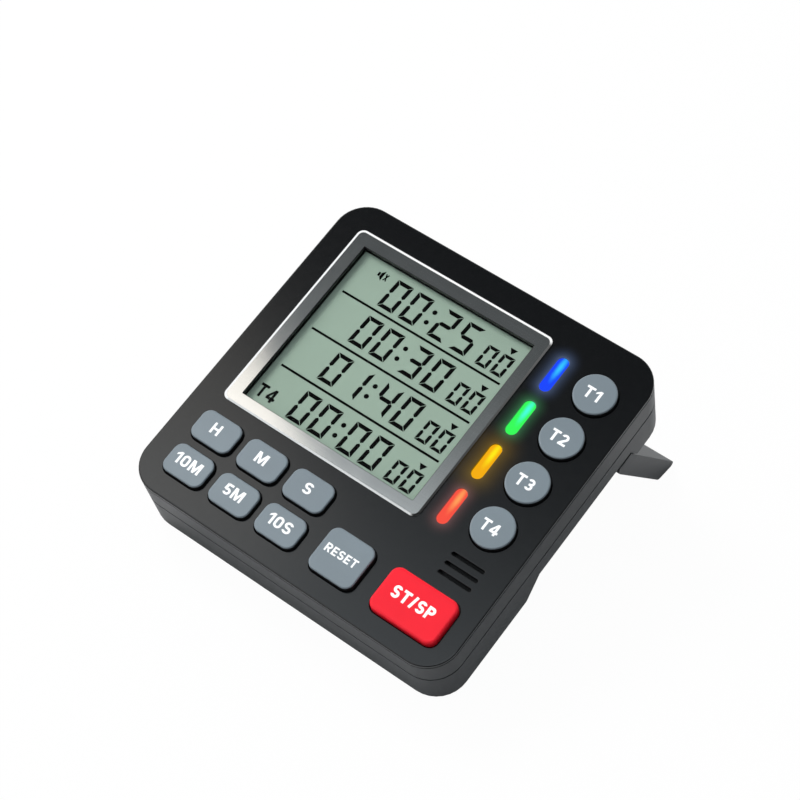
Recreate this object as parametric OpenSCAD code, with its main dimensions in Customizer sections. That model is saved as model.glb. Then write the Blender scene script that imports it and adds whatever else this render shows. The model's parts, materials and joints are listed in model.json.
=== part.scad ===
// Desktop countdown timer with four channels, leaning back on its open stand.
// Everything is drawn in the face's own frame, then leaned back by posed():
// X runs to the right, Y up the face, Z out of the face, and the face is at Z = 0.

/* [Case] */
// Width of the case
case_w = 90; // [81:0.5:110]
// Height of the case, measured up the face
case_h = 89.5; // [81:0.5:110]
// Depth of the case from face to back
case_t = 20; // [18:0.1:24]
// Corner radius of the face outline
corner_r = 8.2; // [6:0.1:10]
// Rounding of the back edge
edge_r = 1.2; // [0.6:0.1:1.5]
// Thickness of the side walls
wall_t = 1.8; // [1.5:0.1:2]
// Thickness of the back wall
back_t = 1.6; // [1.2:0.1:1.8]
// Depth of the parting line below the face
split_depth = 8.2; // [7.8:0.1:10]
// Height of the dark line at the parting
line_h = 0.45; // [0.2:0.05:0.6]
// Depth of the dark line at the parting
line_depth = 0.5; // [0.1:0.05:0.6]

/* [Face panel] */
// Thickness of the face panel
panel_t = 2; // [1.8:0.1:2.2]
// Edge of the panel that shows above the seam
panel_edge_h = 0.9; // [0.6:0.1:1.2]
// Rounding of the panel's top edge
panel_round = 0.4; // [0.2:0.1:0.5]
// Height of the seam between panel and case
seam_h = 0.35; // [0.2:0.05:0.5]
// Width of the inner ledge that carries the panel
ledge_w = 1; // [0.6:0.1:1.2]
// Thickness of the inner ledge
ledge_t = 1.2; // [0.8:0.1:1.4]

/* [Display] */
// Distance from the left side of the case to the bezel frame
bezel_left = 6.7; // [6:0.1:8]
// Distance from the top of the case to the bezel frame
bezel_top = 7.05; // [6:0.05:8]
// Space between the bezel frame and the light bars
bezel_light_space = 3.25; // [2.5:0.05:5]
// Space between the bezel frame and the time keys
bezel_key_space = 4.18; // [3:0.02:6]
// Width of the bezel's border
bezel_border = 3.6; // [3.2:0.1:4]
// Shift of the window to the right of the bezel's middle
window_right = 0.4; // [0:0.1:0.6]
// Shift of the window below the bezel's middle
window_down = 0.4; // [0:0.1:0.6]
// Height of the bezel above the face
bezel_proud = 0.8; // [0.4:0.1:1.2]
// Depth of the bezel's seat in the panel
bezel_seat = 0.3; // [0.2:0.05:0.4]
// Corner radius of the bezel
bezel_r = 1.8; // [1:0.1:2.5]
// Chamfer of the bezel's outer edge
bezel_chamfer = 0.5; // [0.2:0.05:0.6]
// Thickness of the clear lens
lens_t = 0.7; // [0.5:0.1:0.8]
// Overlap of the lens behind the bezel's border
lens_lap = 1.3; // [0.8:0.1:1.6]
// Depth of the display glass below the face
lcd_depth = 1.5; // [1.4:0.05:1.6]
// Thickness of the display glass
lcd_t = 2.2; // [1.8:0.1:2.4]
// Overlap of the display glass past the window, at the sides
lcd_lap_x = 1.7; // [1.2:0.1:1.8]
// Overlap of the display glass past the window, top and bottom
lcd_lap_y = 2.5; // [2.2:0.1:2.6]
// Thickness of the display holder's wall
holder_t = 1.1; // [0.8:0.1:1.2]
// Width of the ledges under the display
holder_ledge = 2; // [1.5:0.1:3]
// Thickness of the rubber connector strips
strip_t = 1.8; // [1.4:0.1:2]
// Space between a connector strip's end and the holder's ledge
strip_end = 1.75; // [0.5:0.05:4]

/* [Keys] */
// Height of a time key
key_h = 8; // [7:0.1:9]
// Corner radius of the rectangular keys
key_r = 2.3; // [1.5:0.1:3]
// Space between columns of time keys
key_space_x = 2.25; // [1.8:0.05:3]
// Space between rows of time keys
key_space_y = 2.33; // [1.8:0.01:3]
// Distance from the left side to the first time key
key_edge_left = 6.45; // [5.5:0.05:8]
// Distance from the bottom to the lower time keys
key_edge_low = 5.54; // [4.6:0.02:7]
// Height of a time key above the face
key_proud = 1.4; // [1.2:0.1:2]
// Width of the reset key
reset_w = 12.3; // [10:0.1:14]
// Height of the reset key
reset_h = 11.6; // [10:0.1:13]
// Height of the reset key above the face
reset_proud = 1.7; // [1.2:0.1:2.2]
// Space between the time keys and the reset key
reset_key_space = 4.7; // [3:0.1:6]
// Space between the reset key and the start key
reset_start_space = 4.95; // [3:0.05:6]
// Width of the start key
start_w = 18; // [16:0.1:21]
// Height of the start key
start_h = 11.7; // [11:0.1:13.6]
// Height of the start key above the face
start_proud = 1.9; // [1.4:0.1:2.4]
// Distance from the right side to the start key
start_edge_right = 4.9; // [4:0.05:6]
// Distance from the bottom to the start key
start_edge_low = 5.15; // [4:0.05:6]
// Space between round channel keys
round_space = 2.85; // [1.8:0.05:4]
// Distance from the right side to the round keys
round_edge_right = 5.2; // [4.2:0.1:7]
// Distance from the bezel's top to the first round key's centre
row_in_top = 7.02; // [6:0.02:8]
// Distance from the bezel's bottom to the last round key's centre
row_in_low = 7.63; // [6.5:0.01:9]
// Height of a round key above the face
round_proud = 1.4; // [1.2:0.1:2]
// Gap round each key
key_gap = 0.25; // [0.15:0.05:0.3]
// Travel of a key
key_travel = 0.7; // [0.4:0.05:0.8]
// Thickness of a grey cap
cap_t = 0.5; // [0.3:0.05:0.8]
// Depth of the red cap below the face
red_depth = 0.6; // [0.3:0.1:0.8]
// Rounding of a cap's top edge
cap_round = 0.25; // [0.1:0.05:0.28]
// Rounding of the red cap's top edge
red_round = 0.7; // [0.3:0.1:1]
// Width of the flange that keeps a key in its hole
flange_w = 0.6; // [0.4:0.05:0.7]
// Thickness of that flange
flange_t = 0.7; // [0.5:0.05:0.75]
// Diameter of a key's stem
stem_d = 2.6; // [2:0.1:3]
// Running clearance of a stem in its switch, on the radius
stem_fit = 0.05; // [0.02:0.01:0.1]

/* [Lights and sound] */
// Width of a light bar
light_w = 2.9; // [2.4:0.1:3.3]
// Space between light bars
light_space = 3.45; // [2.6:0.05:5]
// Drop of the light bars below the round keys' rows
light_drop = 0.35; // [0:0.05:0.6]
// Height of a light bar above the face
light_proud = 0.3; // [0.1:0.1:0.6]
// Space between the light bars and the round keys
light_key_space = 4.55; // [3:0.05:6]
// Width of the flange of a light bar
light_flange = 0.7; // [0.4:0.1:0.7]
// Length of a sound slot
slot_l = 8.9; // [7:0.1:9.4]
// Width of a sound slot
slot_w = 0.9; // [0.5:0.05:1]
// Distance between sound slots
slot_pitch = 2.55; // [2:0.05:2.8]
// Drop of the middle slot below the middle of its room
slot_low = 0.04; // [0:0.02:0.5]
// Gap between the buzzer and the keys' flanges
buzzer_gap = 0.4; // [0.2:0.05:1]

/* [Board] */
// Depth of the board's front face below the timer's face
board_depth = 5.4; // [5:0.05:6]
// Thickness of the board
board_t = 1; // [0.8:0.1:1.1]
// Side of a switch body
switch_w = 5; // [4.4:0.1:5.2]
// Height of a switch body
switch_h = 1.7; // [1.5:0.05:1.75]
// Diameter of the board screws
board_screw_d = 1.6; // [1.4:0.1:1.8]
// Diameter of the bosses for the board screws
board_boss_d = 3.8; // [3.2:0.1:3.9]

/* [Battery] */
// Gap between the board and the battery bay
bay_gap = 0.3; // [0.2:0.05:1]
// Length of a cell with its nub
cell_l = 44.5; // [43:0.1:45.5]
// Thickness of the battery door
door_t = 1.5; // [1.2:0.1:1.6]
// Overlap of the battery door past each end of the bay
door_lap = 4; // [2.5:0.1:4.5]
// Width of the door's side tongues
tongue_w = 1; // [0.6:0.1:1.2]

/* [Stand] */
// Thickness of the stand
stand_t = 5.5; // [5:0.1:6]
// Reach of the stand from its hinge to the front corner of its foot
stand_reach = 34.3; // [28:0.1:35]
// Gap at each end of the stand, to the side of the case
stand_end_gap = 0.2; // [0.2:0.1:1]
// Distance from the top of the case to the hinge
hinge_top = 17.8; // [17:0.1:19]
// Swing of the stand from folded to open
stand_swing = 116.9; // [100:0.1:125]
// Rounding of the front corner of the stand's foot
tip_r = 2.5; // [0.5:0.1:3]
// Rounding of the rear corner of the stand's foot
heel_r = 0.9; // [0.5:0.1:2]
// Width of the relief over the hinge, at each end of the stand
relief_w = 3; // [2:0.1:5]
// Thickness of the stand that the relief leaves over a hinge pin
relief_skin = 0.4; // [0.3:0.1:1]
// Diameter of the hinge pins
pin_d = 2; // [1.6:0.1:2.4]
// Length of the hinge pins
pin_l = 22; // [20:0.5:28]
// Running clearance of a hinge pin, on the radius
pin_fit = 0.05; // [0.02:0.01:0.1]
// Width of a hinge lug
lug_w = 8; // [6:0.5:9]
// Distance from the middle of the case to a lug
lug_x = 30; // [28:0.5:31]

/* [Hidden] */
// Small clearances shared by the fits
fit_gap = 0.1;
press_gap = 0.01;
screw_fit = 0.02;
screw_gap = 0.3;
move_gap = 0.35;
cut = 1;
skin = 0.01;
arc_steps = 8;

// Edges of the case in the face's frame
left_x = -case_w / 2;
right_x = case_w / 2;
low_y = -case_h / 2;
high_y = case_h / 2;

// Key rows and columns; the time keys fill the width that the wide keys leave
start_x = right_x - start_edge_right - start_w / 2;
start_y = low_y + start_edge_low + start_h / 2;
reset_x = start_x - start_w / 2 - reset_start_space - reset_w / 2;
keys_left = left_x + key_edge_left;
keys_right = reset_x - reset_w / 2 - reset_key_space;
key_w = (keys_right - keys_left - 2 * key_space_x) / 3;
key_cols = [for (i = [0:2]) keys_left + key_w / 2 + i * (key_w + key_space_x)];
low_row = low_y + key_edge_low + key_h / 2;
key_rows = [low_row + key_h + key_space_y, low_row];

// The bezel fills the height over the time keys, and the round keys follow its height
bezel_high = high_y - bezel_top;
bezel_low = key_rows[0] + key_h / 2 + bezel_key_space;
bezel_h = bezel_high - bezel_low;
bezel_y = (bezel_high + bezel_low) / 2;
round_pitch = (bezel_h - row_in_top - row_in_low) / 3;
round_d = round_pitch - round_space;
round_x = right_x - round_edge_right - round_d / 2;
round_rows = [for (i = [0:3]) bezel_high - row_in_top - i * round_pitch];
light_rows = [for (y = round_rows) y - light_drop];
light_l = round_pitch - light_space;
light_x = round_x - round_d / 2 - light_key_space - light_w / 2;

// The bezel's width is what the light bars leave
bezel_west = left_x + bezel_left;
bezel_east = light_x - light_w / 2 - bezel_light_space;
bezel_w = bezel_east - bezel_west;
bezel_x = (bezel_east + bezel_west) / 2;

// The buzzer and its slots sit between the last round key and the start key
sound_high = round_rows[3] - round_d / 2;
sound_low = start_y + start_h / 2;
buzzer_y = (sound_high + sound_low) / 2;
buzzer_d = sound_high - sound_low - 2 * flange_w - 2 * buzzer_gap;
slot_y = buzzer_y - slot_low;

// Display stack
window_w = bezel_w - 2 * bezel_border;
window_h = bezel_h - 2 * bezel_border;
lens_w = window_w + 2 * lens_lap;
lens_h = window_h + 2 * lens_lap;
lens_low = -bezel_seat - lens_t;
lcd_w = window_w + 2 * lcd_lap_x;
lcd_h = window_h + 2 * lcd_lap_y;
lcd_low = -lcd_depth - lcd_t;
lcd_gap = 0.15;
strip_inset = 0.4;
strip_l = lcd_w + 2 * lcd_gap - 2 * holder_ledge - 2 * strip_end;
holder_w = lcd_w + 2 * lcd_gap + 2 * holder_t;

// Board stack
board_top = -board_depth;
board_low = board_top - board_t;
board_gap = 0.6;
board_notch = 8.6;
switch_top = board_top + switch_h;
switch_floor = 0.3;
stem_dip = 0.5;
stem_end = switch_top - stem_dip;
led_w = 2;
led_l = 3;
led_h = 0.8;
light_gap = 0.1;
light_flange_t = 1;

// Each key: name, x, y, width, height, corner radius, height above the face
keys = [
    ["h", key_cols[0], key_rows[0], key_w, key_h, key_r, key_proud],
    ["m", key_cols[1], key_rows[0], key_w, key_h, key_r, key_proud],
    ["s", key_cols[2], key_rows[0], key_w, key_h, key_r, key_proud],
    ["10m", key_cols[0], key_rows[1], key_w, key_h, key_r, key_proud],
    ["5m", key_cols[1], key_rows[1], key_w, key_h, key_r, key_proud],
    ["10s", key_cols[2], key_rows[1], key_w, key_h, key_r, key_proud],
    ["reset", reset_x, start_y, reset_w, reset_h, key_r, reset_proud],
    ["start", start_x, start_y, start_w, start_h, key_r, start_proud],
    for (i = [0:3]) [str("t", i + 1), round_x, round_rows[i], round_d, round_d, round_d / 2, round_proud]
];
light_names = ["blue", "green", "amber", "red"];
light_colours = ["#1f6bff", "#2ee65a", "#ffb000", "#ff5a3c"];

// Screws that hold the board to the panel's bosses
board_screw_head_d = 3.2;
board_screw_head_h = 1;
board_screw_grip = 2.4;
top_screw_drop = 17;
side_screw_rise = 11;
inner_screw_angle = 150.7;
inner_screw_gap = 0.78;
inner_screw_reach = buzzer_d / 2 + board_boss_d / 2 + inner_screw_gap;
inner_screw = inner_screw_reach * [cos(inner_screw_angle), sin(inner_screw_angle)];
boss_side = ledge_w + wall_t + fit_gap + board_boss_d / 2;
boss_left = (left_x + wall_t + ledge_w + bezel_x - holder_w / 2) / 2;
round_mid = [for (i = [0, 2]) (round_rows[i] + round_rows[i + 1]) / 2];
board_screws_at = [
    [boss_left, high_y - top_screw_drop],
    [boss_left, key_rows[0] + side_screw_rise],
    [right_x - boss_side, round_mid[0]],
    [right_x - boss_side, round_mid[1]],
    [round_x + inner_screw[0], buzzer_y + inner_screw[1]]
];

// Screws that hold the rear case to the front case
case_screw_d = 2;
case_screw_head_d = 3.8;
case_screw_head_h = 1.4;
case_boss_d = 4.6;
boss_gap = 0.6;
screw_clamp = 3;
case_boss_top = -(panel_t + flange_t + key_travel + boss_gap);
case_screw_seat = split_depth + screw_clamp;
case_screw_inset = 5.6;
post_wall = 0.8;
case_screws_at = [
    for (x = [left_x + case_screw_inset, right_x - case_screw_inset])
        for (y = [low_y + case_screw_inset, high_y - case_screw_inset]) [x, y]
];

// Battery bay in the back, under its door
bay_wall = 1;
contact_t = 0.4;
spring_l = 2;
bump_l = 0.6;
cell_gap = 0.4;
nub_d = 3.8;
nub_l = 0.8;
bay_l = cell_l + spring_l + bump_l + 2 * contact_t;
door_w = bay_l + 2 * door_lap;
door_in = -case_t + door_t;
bay_floor = board_low - bay_gap - bay_wall;
cell_d = bay_floor - door_in - 3 * fit_gap;
bay_h = 2 * cell_d + 3 * cell_gap / 2;
bay_y = low_y + wall_t + bay_wall + bay_h / 2;
cell_z = door_in + 2 * fit_gap + cell_d / 2;
cell_pitch = cell_d + cell_gap / 2;
tongue_t = 0.5;
tongue_end = 2;
tab_w = 2;

// Stand and hinge; the stand lies flush with the back when it is folded
hinge_y = high_y - hinge_top;
flush_gap = 0.05;
hinge_z = -case_t + flush_gap + stand_t / 2;
stand_w = case_w - 2 * stand_end_gap;
lean = stand_swing - 180;
along = [cos(lean), sin(lean)];
across = [-sin(lean), cos(lean)];
valley_z = hinge_z + stand_t / 2 + move_gap;
valley_low = hinge_y - stand_reach - move_gap;
slope_run = 7;
hump_y = valley_low - slope_run;
lug_gap = 0.15;
lug_r = stand_t / 2 - lug_gap;
stop_offset = stand_t / 2 + move_gap;
pin_inset = 1;
door_rim = 0.9;
door_low = low_y + edge_r + door_rim;
door_high = hump_y - move_gap;

// A point of the stand, by its distance along and across from the hinge
function stand_point(s, t) = [hinge_y, hinge_z] + s * along + t * across;

// Where the wall that stops the stand lies at depth z
function stop_y(z, extra) = hinge_y + (stop_offset + extra) * across[0]
    + along[0] * (z - hinge_z - (stop_offset + extra) * across[1]) / along[1];

// The lean of the case, so that its back edge and the stand's tip share one table
back_edge = [low_y + edge_r, -case_t + edge_r];
tip_low = stand_point(stand_reach - tip_r, -stand_t / 2 + tip_r);
span = tip_low - back_edge;
tilt = asin((tip_r - edge_r) / norm(span)) - atan2(span[1], span[0]);

// The stand's foot lies flat on the table, from its front corner to its rear one
table_way = [cos(tilt), -sin(tilt)];
table_up = [sin(tilt), cos(tilt)];
heel_rise = (heel_r - tip_r) * table_up;
foot_l = (stand_t - tip_r - heel_r - heel_rise * across) / (table_way * across);
tip_high = tip_low + heel_rise + foot_l * table_way;

// Where the case stands over the middle of its place on the table
front_edge = [low_y + panel_round, -panel_round];
rest_z = edge_r - back_edge[0] * sin(tilt) - back_edge[1] * cos(tilt);
front_y = front_edge[0] * cos(tilt) - front_edge[1] * sin(tilt) - panel_round;
rear_y = tip_high[0] * cos(tilt) - tip_high[1] * sin(tilt) + heel_r;
rest_y = -(front_y + rear_y) / 2;

// Where the hinge, the valley and the table lie
echo(tilt = tilt, rest_y = rest_y, rest_z = rest_z, hinge = [hinge_y, hinge_z]);
echo(back = -case_t, hump = hump_y, valley = [valley_low, valley_z], stop = stop_y(valley_z, 0));

// Leans the case back on its stand and puts the table at Z = 0
module posed() {
    translate([0, rest_y, rest_z]) rotate([tilt, 0, 0]) children();
}

// Points of an arc round a centre
function arc(centre, r, from, to, steps) =
    [for (i = [0:steps]) let (a = from + (to - from) * i / steps) centre + r * [cos(a), sin(a)]];

// Points of a rectangle with round corners
function round_rect(w, h, r) = concat(
    arc([w / 2 - r, h / 2 - r], r, 0, 90, arc_steps),
    arc([-w / 2 + r, h / 2 - r], r, 90, 180, arc_steps),
    arc([-w / 2 + r, -h / 2 + r], r, 180, 270, arc_steps),
    arc([w / 2 - r, -h / 2 + r], r, 270, 360, arc_steps)
);

// A slab with round corners, between two depths
module slab(w, h, r, low, high) {
    translate([0, 0, low]) linear_extrude(high - low) polygon(round_rect(w, h, r));
}

// The same slab with its top edge rounded
module soft_slab(w, h, r, low, high, soft) {
    hull() {
        slab(w, h, r, low, high - soft);
        for (a = [30:30:90]) {
            in = soft * (1 - cos(a));
            translate([0, 0, high - soft * (1 - sin(a)) - skin])
                linear_extrude(skin) polygon(round_rect(w - 2 * in, h - 2 * in, r - in));
        }
    }
}

// A slab that follows the case's outline, drawn in by inset
module case_slab(inset, low, high) {
    slab(case_w - 2 * inset, case_h - 2 * inset, corner_r - inset, low, high);
}

// A side profile in Y and Z, extended across the case between two X values
module across_case(points, from, to) {
    translate([from, 0, 0]) rotate([90, 0, 90]) linear_extrude(to - from) polygon(points);
}

// A box between two corners
module block(low, high) {
    translate(low) cube(high - low);
}

// A round bar along Z
module post(x, y, d, low, high) {
    translate([x, y, low]) cylinder(d = d, h = high - low, $fn = 48);
}

// The cross for a driver in a screw's head
module cross_recess(x, y, z, head_d, head_h) {
    arm_l = head_d * 0.6;
    arm_w = head_d * 0.16;
    for (turn = [0, 90])
        translate([x, y, z]) rotate([0, 0, turn]) cube([arm_l, arm_w, head_h], center = true);
}

// The outline of one key, grown by extra
module key_slab(key, extra, low, high) {
    translate([key[1], key[2], 0])
        slab(key[3] + 2 * extra, key[4] + 2 * extra, key[5] + extra, low, high);
}

// The outline of one light bar, grown by extra
module light_slab(row, extra, low, high) {
    translate([light_x, light_rows[row], 0])
        slab(light_w + 2 * extra, light_l + 2 * extra, light_w / 2 + extra, low, high);
}

module at_bezel() {
    translate([bezel_x, bezel_y, 0]) children();
}

// The opening over the display, in the bezel's own frame
module window(low, high) {
    translate([window_right, -window_down, 0])
        block([-window_w / 2, -window_h / 2, low], [window_w / 2, window_h / 2, high]);
}

module face_panel() {
    color("#2a2c2f") posed() difference() {
        union() {
            soft_slab(case_w, case_h, corner_r, -panel_edge_h, 0, panel_round);
            case_slab(wall_t + fit_gap, -panel_t, -panel_edge_h);
            for (p = board_screws_at) post(p[0], p[1], board_boss_d, board_top, -panel_edge_h);
        }
        at_bezel() {
            slab(bezel_w + 2 * fit_gap, bezel_h + 2 * fit_gap, bezel_r + fit_gap, -bezel_seat, cut);
            block([-lens_w / 2 - fit_gap, -lens_h / 2 - fit_gap, lens_low],
                  [lens_w / 2 + fit_gap, lens_h / 2 + fit_gap, cut]);
            window(-panel_t - cut, cut);
            block([-lcd_w / 2 - lcd_gap, -lcd_h / 2 - lcd_gap, -panel_t - cut],
                  [lcd_w / 2 + lcd_gap, lcd_h / 2 + lcd_gap, -lcd_depth]);
        }
        for (key = keys) key_slab(key, key_gap, -panel_t - cut, cut);
        for (row = [0:3]) light_slab(row, fit_gap, -panel_t - cut, cut);
        for (i = [-1:1])
            translate([round_x, slot_y + i * slot_pitch, 0])
                slab(slot_l, slot_w, slot_w / 2 - skin, -panel_t - cut, cut);
        for (p = board_screws_at)
            post(p[0], p[1], board_screw_d + 2 * screw_fit,
                 board_top - cut, board_top + board_screw_grip + fit_gap);
    }
}

module front_case() {
    rib_x = right_x - wall_t / 2;
    rib_t = 1.6;
    color("#3a3d40") posed() difference() {
        union() {
            difference() {
                case_slab(0, -split_depth, -panel_edge_h - seam_h);
                case_slab(wall_t, -split_depth - cut, cut);
            }
            difference() {
                case_slab(wall_t / 2, -panel_t - ledge_t, -panel_t);
                case_slab(wall_t + ledge_w, -panel_t - ledge_t - cut, cut);
            }
            for (p = case_screws_at) {
                post(p[0], p[1], case_boss_d, -split_depth, case_boss_top);
                block([min(p[0], sign(p[0]) * rib_x), p[1] - rib_t / 2, -split_depth],
                      [max(p[0], sign(p[0]) * rib_x), p[1] + rib_t / 2, case_boss_top]);
            }
        }
        for (p = case_screws_at)
            post(p[0], p[1], case_screw_d + 2 * screw_fit, -split_depth - cut, case_boss_top - screw_gap);
    }
}

// Outside of the rear case, with its back edge rounded, before the valley is cut
module rear_shape() {
    mirror([0, 0, 1]) soft_slab(case_w, case_h, corner_r, split_depth, case_t, edge_r);
}

// The room inside the rear case, as a side profile one wall inside the back
module rear_room() {
    floor_z = -case_t + back_t;
    shelf_z = valley_z + back_t;
    slant = 1.25;
    lap = back_t * slant;
    intersection() {
        case_slab(wall_t, -case_t, -split_depth + cut);
        across_case([
            [low_y, -split_depth + cut],
            [low_y, floor_z],
            [hump_y - lap, floor_z],
            [valley_low - lap, shelf_z],
            [stop_y(shelf_z, lap), shelf_z],
            [stop_y(floor_z, lap), floor_z],
            [high_y, floor_z],
            [high_y, -split_depth + cut]
        ], left_x, right_x);
    }
}

// The valley that takes the folded stand
module valley() {
    across_case([
        [hump_y, -case_t],
        [valley_low, valley_z],
        [stop_y(valley_z, 0), valley_z],
        [stop_y(-case_t, 0), -case_t],
        [stop_y(-case_t - cut, 0), -case_t - cut],
        [hump_y - cut * slope_run / (case_t + valley_z), -case_t - cut]
    ], left_x - cut, right_x + cut);
}

// One hinge lug on the floor of the valley
module hinge_lug(x) {
    across_case(concat(
        [[hinge_y + lug_r, valley_z + back_t / 2]],
        [[hinge_y - lug_r, valley_z + back_t / 2]],
        arc([hinge_y, hinge_z], lug_r, 180, 360, 2 * arc_steps)
    ), x - lug_w / 2, x + lug_w / 2);
}

// Short walls that locate the rear case inside the front case
module locating_lips() {
    lip_gap = 0.6;
    lip_t = 1.1;
    lip_root = 1;
    lip_end = 6;
    foot_low = -split_depth - 1.6;
    foot_high = -split_depth - 0.6;
    reach_x = right_x - corner_r - lip_end;
    reach_y = high_y - corner_r - lip_end;
    intersection() {
        difference() {
            case_slab(wall_t + fit_gap, -split_depth - lip_root, board_low - lip_gap);
            case_slab(wall_t + fit_gap + lip_t, -case_t, cut);
        }
        union() {
            block([-reach_x, low_y, -case_t], [reach_x, high_y, 0]);
            block([left_x, -reach_y, -case_t], [right_x, reach_y, 0]);
        }
    }
    for (x = [left_x + wall_t / 2, right_x - wall_t / 2 - lip_t])
        block([x, -reach_y, foot_low], [x + lip_t, reach_y, foot_high]);
    for (y = [low_y + wall_t / 2, high_y - wall_t / 2 - lip_t])
        block([-reach_x, y, foot_low], [reach_x, y + lip_t, foot_high]);
}

module rear_case() {
    seat_z = -case_screw_seat;
    recess_z = door_in + fit_gap;
    groove_w = door_w / 2 + tongue_w + fit_gap;
    tongue_low = door_in - tongue_t;
    color("#34373a") posed() difference() {
        union() {
            difference() {
                rear_shape();
                rear_room();
                valley();
            }
            intersection() {
                case_slab(wall_t / 2, -case_t, -split_depth);
                for (p = case_screws_at)
                    post(p[0], p[1], case_boss_d + 2 * post_wall, -case_t + back_t / 2, -split_depth);
            }
            block([-bay_l / 2 - bay_wall, bay_y - bay_h / 2 - bay_wall, -case_t + back_t / 2],
                  [bay_l / 2 + bay_wall, bay_y + bay_h / 2 + bay_wall, bay_floor + bay_wall]);
            block([-groove_w - bay_wall, door_low - bay_wall, -case_t + back_t / 2],
                  [groove_w + bay_wall, hump_y - back_t, recess_z + bay_wall]);
            for (x = [-lug_x, lug_x]) hinge_lug(x);
            locating_lips();
        }
        difference() {
            case_slab(-cut, -split_depth - line_h, -split_depth);
            case_slab(line_depth, -case_t, cut);
        }
        block([-bay_l / 2, bay_y - bay_h / 2, -case_t - cut],
              [bay_l / 2, bay_y + bay_h / 2, bay_floor]);
        block([-door_w / 2 - fit_gap, door_low - fit_gap, -case_t - cut],
              [door_w / 2 + fit_gap, valley_low, recess_z]);
        block([-groove_w, door_low - fit_gap, tongue_low - fit_gap],
              [groove_w, valley_low, recess_z]);
        contact_slots();
        for (p = case_screws_at) {
            post(p[0], p[1], case_screw_d + screw_gap, -case_t - cut, cut);
            post(p[0], p[1], case_screw_head_d + 2 * screw_gap, -case_t - cut, seat_z);
        }
        translate([-case_w / 2, hinge_y, hinge_z]) rotate([0, 90, 0])
            cylinder(d = pin_d + 2 * pin_fit, h = case_w, $fn = 48);
    }
}

module bezel_frame() {
    color("#b9bec4") posed() at_bezel() difference() {
        hull() {
            slab(bezel_w, bezel_h, bezel_r, -bezel_seat, bezel_proud - bezel_chamfer);
            slab(bezel_w - 2 * bezel_chamfer, bezel_h - 2 * bezel_chamfer, bezel_r - bezel_chamfer,
                 bezel_proud - skin, bezel_proud);
        }
        window(-cut - bezel_seat, bezel_proud + cut);
    }
}

module display_lens() {
    color("#dfe8ea", 0.35) posed() at_bezel()
        block([-lens_w / 2, -lens_h / 2, lens_low], [lens_w / 2, lens_h / 2, -bezel_seat]);
}

module lcd_panel() {
    color("#9bb0a0") posed() at_bezel()
        block([-lcd_w / 2, -lcd_h / 2, lcd_low], [lcd_w / 2, lcd_h / 2, -lcd_depth]);
}

module lcd_holder() {
    room_w = lcd_w / 2 + lcd_gap;
    room_h = lcd_h / 2 + lcd_gap;
    color("#e8e8e4") posed() at_bezel() difference() {
        block([-room_w - holder_t, -room_h - holder_t, board_top],
              [room_w + holder_t, room_h + holder_t, -panel_t]);
        block([-room_w, -room_h, lcd_low], [room_w, room_h, cut]);
        block([-room_w + holder_ledge, -room_h, board_top - cut], [room_w - holder_ledge, room_h, cut]);
        for (p = case_screws_at)
            post(p[0] - bezel_x, p[1] - bezel_y, case_boss_d + 2 * boss_gap, board_top - cut, cut);
    }
}

module zebra_strips() {
    strip_y = lcd_h / 2 - strip_inset - strip_t;
    color("#d98aa0") posed() at_bezel() for (y = [-strip_y - strip_t, strip_y])
        block([-strip_l / 2, y, board_top], [strip_l / 2, y + strip_t, lcd_low]);
}

module circuit_board() {
    side = right_x - wall_t - board_gap;
    rise = high_y - wall_t - board_gap;
    color("#2f7d4f") posed() difference() {
        block([-side, -rise, board_low], [side, rise, board_top]);
        for (x = [-1, 1]) for (y = [-1, 1])
            translate([x * side, y * rise, (board_low + board_top) / 2])
                cube([2 * board_notch, 2 * board_notch, 2 * cut], center = true);
        for (p = board_screws_at)
            post(p[0], p[1], board_screw_d + 2 * screw_gap, board_low - cut, board_top + cut);
    }
}

module board_screws() {
    color("#c9cdd1") posed() for (p = board_screws_at) difference() {
        union() {
            post(p[0], p[1], board_screw_head_d, board_low - board_screw_head_h, board_low);
            post(p[0], p[1], board_screw_d, board_low - board_screw_head_h / 2, board_top + board_screw_grip);
        }
        cross_recess(p[0], p[1], board_low - board_screw_head_h, board_screw_head_d, board_screw_head_h);
    }
}

module tact_switches() {
    color("#3b3b3d") posed() for (key = keys) difference() {
        block([key[1] - switch_w / 2, key[2] - switch_w / 2, board_top],
              [key[1] + switch_w / 2, key[2] + switch_w / 2, switch_top]);
        post(key[1], key[2], stem_d + 2 * stem_fit, board_top + switch_floor, switch_top + cut);
    }
}

module led_chips() {
    color("#f3efe0") posed() for (y = light_rows)
        block([light_x - led_w / 2, y - led_l / 2, board_top],
              [light_x + led_w / 2, y + led_l / 2, board_top + led_h]);
}

module buzzer() {
    port_d = 2;
    port_floor = board_top + 1;
    color("#1c1c1e") posed() difference() {
        post(round_x, buzzer_y, buzzer_d, board_top, -panel_t - 2 * fit_gap);
        post(round_x, buzzer_y, port_d, port_floor, cut);
    }
}

module controller_chip() {
    chip_w = 10;
    chip_h = 1.4;
    color("#202124") posed() block([bezel_x - chip_w / 2, bezel_y - chip_w / 2, board_low - chip_h],
                                   [bezel_x + chip_w / 2, bezel_y + chip_w / 2, board_low]);
}

module clock_crystal() {
    crystal_d = 2;
    crystal_l = 6;
    crystal_off = 12;
    color("#d0d3d6") posed()
        translate([bezel_x + crystal_off, bezel_y - crystal_l / 2, board_low - crystal_d / 2])
        rotate([-90, 0, 0]) cylinder(d = crystal_d, h = crystal_l, $fn = 32);
}

module capacitor() {
    can_d = 5;
    can_gap = 1.1;
    can_off = 20;
    can_drop = 17.25;
    can_low = valley_z + back_t + can_gap;
    color("#2b4a8a") posed()
        post(bezel_x + can_off, high_y - can_drop, can_d, can_low, board_low);
}

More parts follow.
